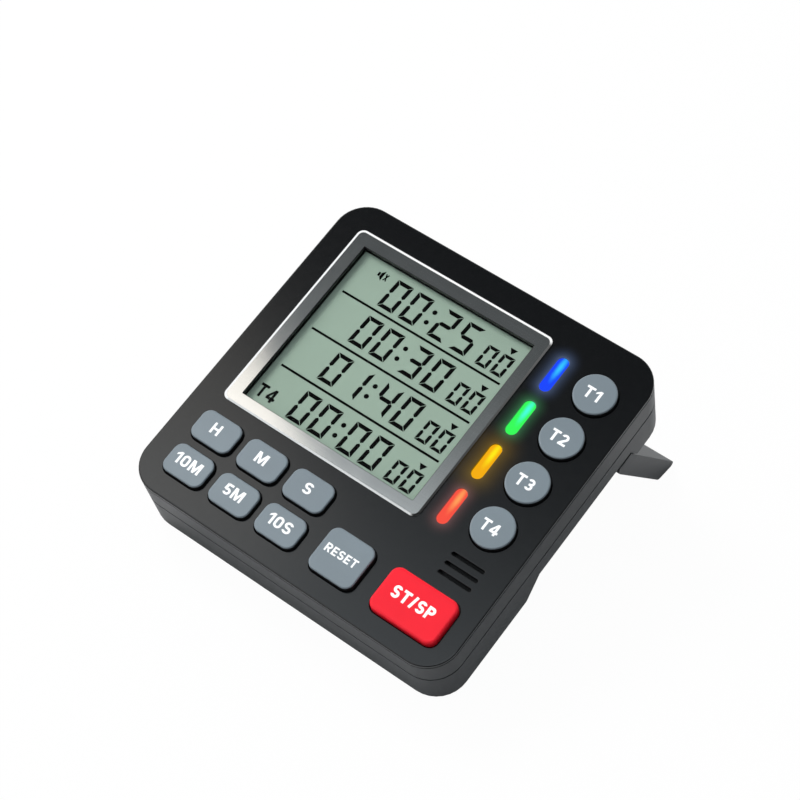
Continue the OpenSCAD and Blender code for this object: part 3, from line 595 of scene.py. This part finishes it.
BEZEL = outline_of("bezel_frame", BEZEL_R)
WINDOW = Outline(
    BEZEL.w - 2 * BEZEL_BORDER, BEZEL.h - 2 * BEZEL_BORDER, WINDOW_R,
    BEZEL.x + WINDOW_SHIFT[0], BEZEL.y + WINDOW_SHIFT[1],
)
LENS = outline_of("display_lens", LENS_R)
LCD = outline_of("lcd_panel", LENS_R)
LENS_LOW = face_box("display_lens")[0].z
LENS_HIGH = face_box("display_lens")[1].z
BEZEL_TOP = face_box("bezel_frame")[1].z
ROUND_X = key_outline("t1").x


def slot_outlines():
    """The three sound slots, in line with the round keys."""
    return [Outline(SLOT_L, SLOT_W, SLOT_W / 2, ROUND_X, SLOT_Y + i * SLOT_PITCH) for i in (-1, 0, 1)]


# Pieces of the case

def screw_bosses(bm):
    """The posts under the panel, cut from the panel's own solid."""
    posts = from_node("face_panel")
    everything = posts.verts[:] + posts.edges[:] + posts.faces[:]
    bmesh.ops.bisect_plane(
        posts, geom=everything, plane_co=(0, 0, -PANEL_T), plane_no=(0, 0, 1), clear_outer=True,
    )
    bmesh.ops.holes_fill(posts, edges=[edge for edge in posts.edges if edge.is_boundary])
    cut = bpy.data.meshes.new("posts")
    posts.to_mesh(cut)
    posts.free()
    bm.from_mesh(cut)
    bpy.data.meshes.remove(cut)


def face_plate():
    """The black panel, with a softened rim at each hole and steps for bezel, lens and display."""
    bm = bmesh.new()
    case = outline_of("front_case", CASE_R)
    rim = GROOVE_H - PANEL_EDGE
    side = [(-PANEL_STEP, -PANEL_T), (-PANEL_STEP, -PANEL_EDGE), (-GROOVE_DEPTH, -PANEL_EDGE)]
    side += [(-GROOVE_DEPTH, rim), (0, rim)]
    back, front = loft(bm, case, side + rounding(0, 0, PANEL_ROUND, -1))
    backs = [back]
    fronts = [front]
    holes = [(key_outline(key), KEY_GAP) for key in LEGENDS]
    holes += [(bar, FIT_GAP) for bar in BARS.values()]
    holes += [(slot, 0) for slot in slot_outlines()]
    for shape, gap in holes:
        low, high = loft(bm, shape, [(gap, -PANEL_T)] + rounding(gap, 0, RIM_ROUND, 1))
        backs.append(low)
        fronts.append(high)
    steps = skin(bm, [
        (BEZEL, FIT_GAP, 0),
        (BEZEL, FIT_GAP, LENS_HIGH),
        (LENS, FIT_GAP, LENS_HIGH),
        (LENS, FIT_GAP, LENS_LOW),
        (WINDOW, 0, LENS_LOW),
        (WINDOW, 0, -LCD_DEPTH),
        (LCD, LCD_GAP, -LCD_DEPTH),
        (LCD, LCD_GAP, -PANEL_T),
    ])
    sheet_with_holes(bm, fronts + [steps[0]])
    sheet_with_holes(bm, backs + [steps[-1]])
    screw_bosses(bm)
    piece("face_plate", bm, [PANEL_BLACK], "case", ["face_panel"])


def bezel():
    """The metal frame: a polished outer slope, a brushed flat and a black inner edge."""
    bm = bmesh.new()
    low = face_box("bezel_frame")[0].z
    cut = BEZEL_SLOPE + BEZEL_BREAK
    move = (BEZEL_SLOPE - BEZEL_BREAK) / 2
    flat = Outline(BEZEL.w - cut, BEZEL.h - cut, BEZEL.r - BEZEL_BREAK, BEZEL.x + move, BEZEL.y - move)
    loops = skin(bm, [
        (BEZEL, 0, low),
        (BEZEL, 0, BEZEL_TOP - BEZEL_DROP),
        (flat, 0, BEZEL_TOP),
        (WINDOW, INNER_SOFT, BEZEL_TOP),
        (WINDOW, 0, BEZEL_TOP - INNER_SOFT),
        (WINDOW, 0, low),
    ], closed=True)
    finishes = [BEZEL_POLISHED, BEZEL_METAL, BEZEL_EDGE]
    rings = (0, 0, 1, 2, 2, 2)
    bm.faces.ensure_lookup_table()
    for place, face in enumerate(bm.faces):
        face.material_index = rings[place // len(loops[0])]
    piece("display_bezel", bm, finishes, "case", ["bezel_frame"], sharp=20)


def folding_stand():
    """The stand, with a thin cover over the mouth of each pin hole."""
    bm = from_node("stand")
    for box_corner, inwards in zip(face_box("stand"), (1, -1)):
        end = box_corner.x
        everything = bm.verts[:] + bm.edges[:] + bm.faces[:]
        bmesh.ops.bisect_plane(
            bm, geom=everything, plane_co=(end + inwards * PIN_COVER, 0, 0), plane_no=(1, 0, 0),
        )
        at_end = [vertex for vertex in bm.verts if abs(vertex.co.x - end) < PIN_COVER / 2]
        mouth = [vertex for vertex in at_end if (vertex.co.yz - HINGE.yz).length < PIN_HOLE_R]
        bmesh.ops.delete(bm, geom=mouth, context="VERTS")
    bmesh.ops.holes_fill(bm, edges=[edge for edge in bm.edges if edge.is_boundary])
    piece("folding_stand", bm, [CASE_GREY], "stand", ["stand"], soften=STAND_SOFT)


def cap(key):
    """A key's cap, with its top edge rounded."""
    bm = bmesh.new()
    low, high = face_box("key_" + key)
    soft = RED_ROUND if key == "start" else CAP_ROUND
    bottom, top = loft(bm, key_outline(key), [(0, low.z)] + rounding(0, high.z, soft, -1))
    lid(bm, bottom)
    lid(bm, top)
    finish, slot = (KEY_RED, "key_red") if key == "start" else (KEY_GREY, "key_grey")
    piece("cap_" + key, bm, [finish], "key_" + key, ["key_" + key])


# Lettering: each letter is one unit high, drawn with a flat pen

# Gap that joins two ends of a band, and the turn of one step of an arc in degrees
NIB_MERGE = 0.0005
TURN_STEP = 15


def raise_ink(bm, faces, thick):
    """Gives flat faces the thickness of a layer of ink."""
    raised = bmesh.ops.extrude_face_region(bm, geom=faces)["geom"]
    tops = [part for part in raised if isinstance(part, bmesh.types.BMVert)]
    bmesh.ops.translate(bm, vec=(0, 0, thick), verts=tops)


def patch(bm, points, thick=INK_T):
    """A flat patch of ink between points."""
    raise_ink(bm, [bm.faces.new([bm.verts.new((x, y, 0)) for x, y in points])], thick)


def stroke(bm, pen, thick, x, y, heading, *moves):
    """A band of ink: a move is a length to go straight, or an angle and radius to turn, left if positive."""
    drawn = set(bm.faces)
    turn = Matrix.Rotation(math.radians(heading), 3, "Z")
    middle = Vector((x, y, 0))
    nib = bm.edges.new([bm.verts.new(middle + turn @ Vector((0, side * pen / 2, 0))) for side in (-1, 1)])
    for move in moves:
        middle = (nib.verts[0].co + nib.verts[1].co) / 2
        if isinstance(move, tuple):
            angle, r = math.radians(move[0]), move[1]
            centre = middle + turn @ Vector((0, math.copysign(r, angle), 0))
            steps = max(3, round(abs(move[0]) / TURN_STEP))
            moved = bmesh.ops.spin(
                bm, geom=[*nib.verts, nib], cent=centre, axis=(0, 0, 1), angle=angle, steps=steps,
            )["geom_last"]
            turn = Matrix.Rotation(angle, 3, "Z") @ turn
        else:
            moved = bmesh.ops.extrude_edge_only(bm, edges=[nib])["geom"]
            ends = [part for part in moved if isinstance(part, bmesh.types.BMVert)]
            bmesh.ops.translate(bm, vec=turn @ Vector((move, 0, 0)), verts=ends)
        nib = [part for part in moved if isinstance(part, bmesh.types.BMEdge)][0]
    bmesh.ops.remove_doubles(bm, verts=[v for v in bm.verts if v.is_boundary], dist=NIB_MERGE)
    raise_ink(bm, list(set(bm.faces) - drawn), thick)


def letter(sign, t):
    """Width of a letter, its bands (x, y, heading, moves) and its patches, for a pen of width t."""
    lobe = (1 - t) / 4
    bowl_h = 0.62
    bowl = (bowl_h - t) / 2
    if sign == "H":
        w = 0.74
        return w, [(t / 2, 0, 90, 1), (w - t / 2, 0, 90, 1), (t, 0.5, 0, w - 2 * t)], []
    if sign == "T":
        w = 0.68
        return w, [(0, 1 - t / 2, 0, w), (w / 2, 0, 90, 1 - t)], []
    if sign == "E":
        w = 0.58
        short = 0.04
        arms = [(t, t / 2, 0, w - t), (t, 0.5, 0, w - t - short), (t, 1 - t / 2, 0, w - t)]
        return w, [(t / 2, 0, 90, 1)] + arms, []
    if sign == "/":
        w = 0.42
        return w, [(t / 2, 0, math.degrees(math.atan2(1, w - t)), math.hypot(1, w - t))], []
    if sign == "1":
        w = 0.44
        tip = 0.78
        flag = [(w - t, 1), (0, tip), (0, tip - 0.9 * t), (w - t, 1 - 1.1 * t)]
        return w, [(w - t / 2, 0, 90, 1)], [flag]
    if sign == "M":
        w = 0.92
        half = [(0, 0), (0, 1), (1.3 * t, 1), (w / 2, 0.36 + 0.2 * t)]
        inner = [(w / 2 - 0.42 * t, 0), (t, 0.62), (t, 0)]
        right = [(w - x, y) for x, y in half[:3]][::-1] + [(w - x, y) for x, y in inner[::-1]]
        return w, [], [half + right + inner]
    if sign == "0":
        w = 0.64
        r = (w - t) / 2
        side = 1 - t - 2 * r
        return w, [(w - t / 2, t / 2 + r, 90, side, (180, r), side, (180, r))], []
    if sign == "S":
        w = 0.66
        run = w - t - 2 * lobe
        end = 20
        x = w - t / 2 - lobe * (1 - math.cos(math.radians(end)))
        y = 1 - t / 2 - lobe * (1 - math.sin(math.radians(end)))
        moves = [(90 - end, lobe), run, (180, lobe), run, (-180, lobe), run, (end - 90, lobe)]
        return w, [(x, y, 90 + end, *moves)], []
    if sign == "5":
        w = 0.64
        r = bowl
        turn = math.radians(150)
        x = w - t / 2 - r + r * math.cos(turn)
        y = t / 2 + r + r * math.sin(turn)
        inset = 0.07
        back = [(inset, 1), (inset + t, 1 - t), (0.05 + t, 0.5), (0.02, 0.42)]
        return w, [(inset + t / 2, 1 - t / 2, 0, w - 0.1 - t / 2), (x, y, 60, (-300, r))], [back]
    if sign == "2":
        w = 0.62
        r = (0.60 - t) / 2
        turn = math.radians(165)
        x = w / 2 + r * math.cos(turn)
        y = 1 - t / 2 - r + r * math.sin(turn)
        low = 1 - t / 2 - r - r * math.sin(math.radians(40))
        down = (low - 0.8 * t) / math.sin(math.radians(50))
        return w, [(x, y, 75, (-205, r), down), (0, t / 2, 0, w)], []
    if sign == "3":
        w = 0.62
        x = w - t / 2 - lobe
        turn = math.radians(155)
        top = (x + lobe * math.cos(turn), 1 - t / 2 - lobe + lobe * math.sin(turn), 65, (-245, lobe), 0.1)
        return w, [top, (x, 0.5, 0, (-245, lobe))], []
    if sign == "4":
        w = 0.70
        overhang = 0.14
        stem = w - overhang - t / 2
        bar = 0.28
        slope = [(stem - t / 2, 1), (0, bar + t / 2), (1.05 * t, bar + t / 2), (stem - t / 2, 1 - 1.5 * t)]
        return w, [(stem, 0, 90, 1), (0, bar, 0, w)], [slope]
    w = 0.68 if sign == "R" else 0.66
    run = w - t / 2 - bowl - t
    waist = 1.02 - bowl_h
    leg = [(0.36 * w, waist), (0.36 * w + 1.1 * t, waist), (w, 0), (w - 1.15 * t, 0)]
    return w, [(t / 2, 0, 90, 1), (t, 1 - t / 2, 0, run, (-180, bowl), run)], [leg] if sign == "R" else []


def lettering(words, width, height, pen):
    """A line of letters, centred and scaled to a box; each band lies a hair above the last."""
    bm = bmesh.new()
    space = 0.14
    left = 0
    for sign in words:
        before = set(bm.verts)
        w, bands, patches = letter(sign, pen)
        thick = INK_T
        for points in patches:
            patch(bm, points, thick)
            thick += INK_HAIR
        for band in bands:
            stroke(bm, pen, thick, *band)
            thick += INK_HAIR
        bmesh.ops.translate(bm, vec=(left, 0, 0), verts=list(set(bm.verts) - before))
        left += w + space
    bmesh.ops.translate(bm, vec=((space - left) / 2, -0.5, 0), verts=bm.verts)
    bmesh.ops.scale(bm, vec=(width / (left - space), height, 1), verts=bm.verts)
    return bm


def legend(key):
    """A key's printed legend."""
    words, width, height = LEGENDS[key]
    shape = key_outline(key)
    top = face_box("key_" + key)[1].z
    bm = lettering(words, width, height, BOLD_PEN if key == "start" else LEGEND_PEN)
    right, up = ROUND_SHIFT if key in ROUND_KEYS else SHIFT
    bmesh.ops.translate(bm, vec=(shape.x + right, shape.y + up, top), verts=bm.verts)
    piece("legend_" + key, bm, [LEGEND_WHITE], "key_" + key)


def light(name):
    """A light bar: a rounded head in its slot, on a flange behind the panel."""
    bm = bmesh.new()
    low, high = face_box("light_bar_" + name)
    flange = -PANEL_T - LIGHT_FLANGE_T
    profile = [(0, low.z), (0, flange), (LIGHT_FLANGE, flange), (LIGHT_FLANGE, -PANEL_T), (0, -PANEL_T)]
    profile += rounding(0, high.z - LIGHT_SINK, LIGHT_ROUND, -1)
    bottom, top = loft(bm, BARS[name], profile)
    lid(bm, bottom)
    lid(bm, top)
    edge, core = LIGHTS[name][:2]
    finish = bar_finish(name, BARS[name], edge, core)
    piece("lit_bar_" + name, bm, [finish], "case", ["light_bar_" + name])


# Display

# Strokes of a digit, a to g: top, upper right, lower right, bottom, lower left, upper left, middle
STROKES = {"0": "abcdef", "1": "bc", "2": "abdeg", "3": "abcdg", "4": "bcfg", "5": "acdfg"}
SLANT = math.radians(3)
STROKE_GAP = 0.09
# Digits: width, height and width of a stroke, then where they stand across the display
BIG = (4.6, 8.45, 1.03)
SMALL = (3.25, 5.9, 0.82)
BIG_AT = (-23.2, -17.0, -8.45, -2.05)
COLON_AT = -10.2
SMALL_AT = (5.5, 9.8)
# Rows: large digits, small digits and the height of the row's middle
ROWS = {
    "1": ("0025", "00", 27.5),
    "2": ("0030", "00", 15.9),
    "3": ("0140", "00", 4.05),
    "4": ("0000", "00", -8.05),
}
COLON_RISE = 1.6
DOT_R = 0.63
MARK_AT = (11.5, 2.95)
MARK_W = 2.05
MARK_H = 1.6
LINES_Y = (21.9, 9.96, -1.86)
LINE_X = (-32.4, 13.9)
LINE_T = 0.6
CHANNEL_BOX = (-33.1, -27.8, -11.5, -7.9)
# Mute mark: its place, then its box, horn and cross, each measured from that place
SPEAKER_AT = (-28.1, 30.45)
SPEAKER_W = 0.62
SPEAKER_HALF = 0.55
HORN_X = (0.74, 1.54)
HORN_HALF = (0.62, 1.45)
CROSS_X = (1.85, 2.55)
CROSS_HALF = 0.95
CROSS_PEN = 0.37


def segment(name, w, h, t):
    """Corners of one stroke of a digit that fills w by h."""
    middle = h / 2
    half = t / 2
    gap = STROKE_GAP
    if name == "g":
        right = [(w - t, middle + half), (w - half - gap, middle), (w - t, middle - half)]
        return [(w - x, y) for x, y in right] + right[::-1]
    if name in "ad":
        points = [(gap, h), (w - gap, h), (w - t - gap, h - t), (t + gap, h - t)]
        return points if name == "a" else [(x, h - y) for x, y in points]
    points = [(0, h - gap), (t, h - t - gap), (t, middle + half + gap)]
    points += [(half, middle + gap), (0, middle + half)]
    if name in "bc":
        points = [(w - x, y) for x, y in points]
    if name in "ce":
        points = [(x, h - y) for x, y in points]
    return points


def digit(bm, figure, x, y, size):
    """A slanted seven-stroke digit whose lower left corner is at x, y."""
    for name in STROKES[figure]:
        corners = segment(name, *size)
        patch(bm, [(x + across + rise * math.tan(SLANT), y + rise) for across, rise in corners])


def box(bm, left, right, low, high):
    """An upright rectangle of ink."""
    patch(bm, [(left, low), (right, low), (right, high), (left, high)])


def dot(bm, x, y, r):
    """A round dot of ink."""
    place = Matrix.Translation((x, y, 0))
    ring = bmesh.ops.create_circle(bm, cap_ends=True, segments=16, radius=r, matrix=place)["verts"]
    raise_ink(bm, ring[0].link_faces[:], INK_T)


def display_row(name):
    """One row of the display: two pairs of digits, a colon, small digits and a mark."""
    big, small, middle = ROWS[name]
    bm = bmesh.new()
    low = middle - BIG[1] / 2
    for figure, x in zip(big, BIG_AT):
        digit(bm, figure, x, low, BIG)
    for figure, x in zip(small, SMALL_AT):
        digit(bm, figure, x, low, SMALL)
    for rise in (-COLON_RISE, COLON_RISE):
        dot(bm, COLON_AT + rise * math.tan(SLANT), middle + rise, DOT_R)
    x, rise = MARK_AT
    top = middle + rise + MARK_H / 2
    patch(bm, [(x - MARK_W / 2, top), (x + MARK_W / 2, top), (x, top - MARK_H)])
    bmesh.ops.translate(bm, vec=(0, 0, -LCD_DEPTH), verts=bm.verts)
    piece("lcd_row_" + name, bm, [LCD_INK], "case")


def mute_mark(bm):
    """A loudspeaker with a cross beside its horn."""
    x, y = SPEAKER_AT
    box(bm, x, x + SPEAKER_W, y - SPEAKER_HALF, y + SPEAKER_HALF)
    throat, mouth = [x + across for across in HORN_X]
    small, wide = HORN_HALF
    patch(bm, [(throat, y - small), (mouth, y - wide), (mouth, y + wide), (throat, y + small)])
    left, right = [x + across for across in CROSS_X]
    for way in (-1, 1):
        low = y - CROSS_HALF * way
        high = y + CROSS_HALF * way
        patch(bm, [(left, low), (left + CROSS_PEN, low), (right + CROSS_PEN, high), (right, high)])


def display_lines():
    """Lines between the rows, the mute mark and the channel's name."""
    bm = bmesh.new()
    half = LINE_T / 2
    for y in LINES_Y:
        box(bm, *LINE_X, y - half, y + half)
    mute_mark(bm)
    bmesh.ops.translate(bm, vec=(0, 0, -LCD_DEPTH), verts=bm.verts)
    piece("lcd_lines", bm, [LCD_INK], "case")
    left, right, low, high = CHANNEL_BOX
    bm = lettering("T4", right - left, high - low, CHANNEL_PEN)
    spot = ((left + right) / 2, (low + high) / 2, -LCD_DEPTH)
    bmesh.ops.translate(bm, vec=spot, verts=bm.verts)
    piece("lcd_channel", bm, [LCD_INK], "case")


face_plate()
bezel()
for key in LEGENDS:
    cap(key)
    legend(key)
    dressed("stem_" + key, "key_body_" + key, KEY_BLACK, "key_" + key, KEY_BODY_SOFT)
for name in LIGHTS:
    light(name)
for name in ROWS:
    display_row(name)
display_lines()
dressed("front_case", "front_shell", CASE_GREY, "case")
dressed("rear_case", "rear_shell", CASE_GREY, "case")
folding_stand()
dressed("battery_door", "battery_cover", CASE_GREY, "battery_door")

# Inner solids keep their own shape
INNER = {
    "display_lens": CLEAR_LENS,
    "lcd_panel": LCD_GLASS,
    "lcd_holder": WHITE_PLASTIC,
    "zebra_strips": RUBBER,
    "circuit_board": BOARD_GREEN,
    "board_screws": ZINC_STEEL,
    "tact_switches": COMPONENT_BLACK,
    "led_chips": LED_WHITE,
    "buzzer": COMPONENT_BLACK,
    "controller_chip": COMPONENT_BLACK,
    "clock_crystal": ZINC_STEEL,
    "capacitor": COMPONENT_BLUE,
    "battery_cells": CELL_SLEEVE,
    "battery_contacts": ZINC_STEEL,
    "case_screws": ZINC_STEEL,
    "hinge_pins": ZINC_STEEL,
}
for name, finish in INNER.items():
    nodes[name].data.materials.clear()
    nodes[name].data.materials.append(finish)


# Stage, lights and camera

# Brightness overhead, from the front to the back of the strip that the face mirrors
CEILING = (
    (0.01, 1.85), (0.08, 1.48), (0.22, 0.9), (0.36, 0.56), (0.5, 0.35),
    (0.61, 0.24), (0.72, 0.172), (0.83, 0.136), (0.95, 0.112),
)

# The table, in metres: its radius and its drop below the feet, then its grey and its share of plain white
TABLE_R = 1.6
TABLE_DROP = 0.0001
TABLE_GREY = (0.8, 0.8, 0.8, 1)
TABLE_WHITE = 0.97


def shown_rays(tree):
    """One for rays from the camera, straight or bent on their way."""
    path = add(tree, "LightPath").outputs
    return math_node(tree, "MAXIMUM", path["Is Camera Ray"], path["Is Transmission Ray"])


def floor():
    """A pale table that stays white to the eye and keeps a faint shadow."""
    bm = bmesh.new()
    bmesh.ops.create_circle(bm, cap_ends=True, segments=96, radius=TABLE_R)
    bmesh.ops.translate(bm, vec=(0, 0, -TABLE_DROP), verts=bm.verts)
    mesh = bpy.data.meshes.new("table")
    bm.to_mesh(mesh)
    bm.free()
    made = bpy.data.objects.new("table", mesh)
    bpy.context.scene.collection.objects.link(made)
    pale = bpy.data.materials.new("pale table")
    pale.use_nodes = True
    tree = pale.node_tree
    tree.nodes.clear()
    matt = add(tree, "BsdfDiffuse", {"Color": TABLE_GREY})
    white = add(tree, "Emission", {"Color": (1, 1, 1, 1), "Strength": 1.0})
    share = math_node(tree, "MULTIPLY", shown_rays(tree), TABLE_WHITE)
    mixed = add(tree, "MixShader", {0: share, 1: matt.outputs[0], 2: white.outputs[0]})
    add(tree, "OutputMaterial", {"Surface": mixed.outputs[0]})
    mesh.materials.append(pale)


def sky():
    """A soft room: bright at the left and back, dim at the front right, graded overhead, white to the eye."""
    cool_tint = (0.87, 0.95, 1.0)
    left_and_back = (-0.85, 0.5, 0)
    world = bpy.data.worlds.new("room")
    world.use_nodes = True
    bpy.context.scene.world = world
    tree = world.node_tree
    tree.nodes.clear()
    way = add(tree, "TexCoord").outputs["Generated"]
    parts = add(tree, "SeparateXYZ", {0: way}).outputs
    back = add(tree, "MapRange", {"Value": parts["Y"], "From Min": -0.1, "From Max": 0.08})
    ceiling = add(tree, "ValToRGB", {0: back.outputs[0]})
    for place, level in CEILING:
        ceiling.color_ramp.elements.new(place).color = (level, level, level, 1)
    ceiling.color_ramp.elements.remove(ceiling.color_ramp.elements[0])
    ceiling.color_ramp.elements.remove(ceiling.color_ramp.elements[-1])
    cool = add(tree, "VectorMath", {0: ceiling.outputs[0], 1: cool_tint}, operation="MULTIPLY")
    side = add(tree, "VectorMath", {0: way, 1: left_and_back}, operation="DOT_PRODUCT")
    turn = add(
        tree, "MapRange",
        {"Value": side.outputs["Value"], "From Min": -0.7, "From Max": 0.1, "To Min": 0.02, "To Max": 1.04},
    )
    high = add(
        tree, "MapRange", {"Value": parts["Z"], "From Min": 0.62, "From Max": 0.85},
        interpolation_type="SMOOTHSTEP",
    )
    level = add(tree, "Mix", {0: high.outputs[0], 4: turn.outputs[0], 5: cool.outputs[0]}, data_type="VECTOR")
    room = add(tree, "Background", {"Color": level.outputs[1], "Strength": 1.0})
    white = add(tree, "Background", {"Color": (1, 1, 1, 1), "Strength": 1.0})
    seen = add(tree, "LightPath").outputs["Is Camera Ray"]
    mixed = add(tree, "MixShader", {0: seen, 1: room.outputs[0], 2: white.outputs[0]})
    add(tree, "OutputWorld", {"Surface": mixed.outputs[0]})


def lamp(name, middle, along, facing, size, watts, colour=(1, 1, 1)):
    """A rectangular lamp: middle, long side and facing are in the face's frame, its size in metres."""
    light_data = bpy.data.lights.new(name, "AREA")
    light_data.shape = "RECTANGLE"
    light_data.size = size[0]
    light_data.size_y = size[1]
    light_data.energy = watts
    light_data.color = colour
    made = bpy.data.objects.new(name, light_data)
    bpy.context.scene.collection.objects.link(made)
    back = -Vector(facing).normalized()
    side = (Vector(along) - Vector(along).dot(back) * back).normalized()
    turn = Matrix((side, back.cross(side), back)).transposed()
    made.matrix_world = Matrix.Translation(FACE @ Vector(middle)) @ TURN @ turn.to_4x4()
    return made


def lights():
    """A broad softbox whose reflection sweeps the lower left, and a key light that casts the shadows."""
    middle = (-606.6, 65.2, 653.6)
    along = (0.829, -0.474, 0.297)
    facing = (0.250, -0.162, -0.955)
    size = (0.482, 0.49)
    radiance = 1.08
    warm = (1.0, 0.92, 0.83)
    lamp("softbox", middle, along, facing, size, radiance * math.pi * size[0] * size[1], warm)
    way = Vector((-0.6, 0.3, 0.74)).normalized()
    distance = 700
    key_size = (0.25, 0.25)
    key_watts = 2.7
    key_light = lamp("key light", way * distance, (1, 0, 0), -way, key_size, key_watts)
    key_light.visible_glossy = False


# The viewpoint in the face's frame: place, and turns about X, Y and Z in degrees
VIEW_AT = (175.968, -140.670, 422.586)
VIEW_TURN = (27.7395, 7.3647, 36.9835)
# Focal length and sensor width, in millimetres
VIEW_LENS = 94.0735
SENSOR_W = 36


def camera():
    """The photograph's viewpoint."""
    data = bpy.data.cameras.new("viewpoint")
    data.lens = VIEW_LENS
    data.sensor_width = SENSOR_W
    made = bpy.data.objects.new("viewpoint", data)
    aim = Euler([math.radians(angle) for angle in VIEW_TURN]).to_matrix().to_4x4()
    made.matrix_world = Matrix.Translation(FACE @ Vector(VIEW_AT)) @ TURN @ aim
    bpy.context.scene.collection.objects.link(made)
    bpy.context.scene.camera = made


floor()
sky()
lights()
camera()
bpy.context.scene.view_settings.view_transform = "Standard"
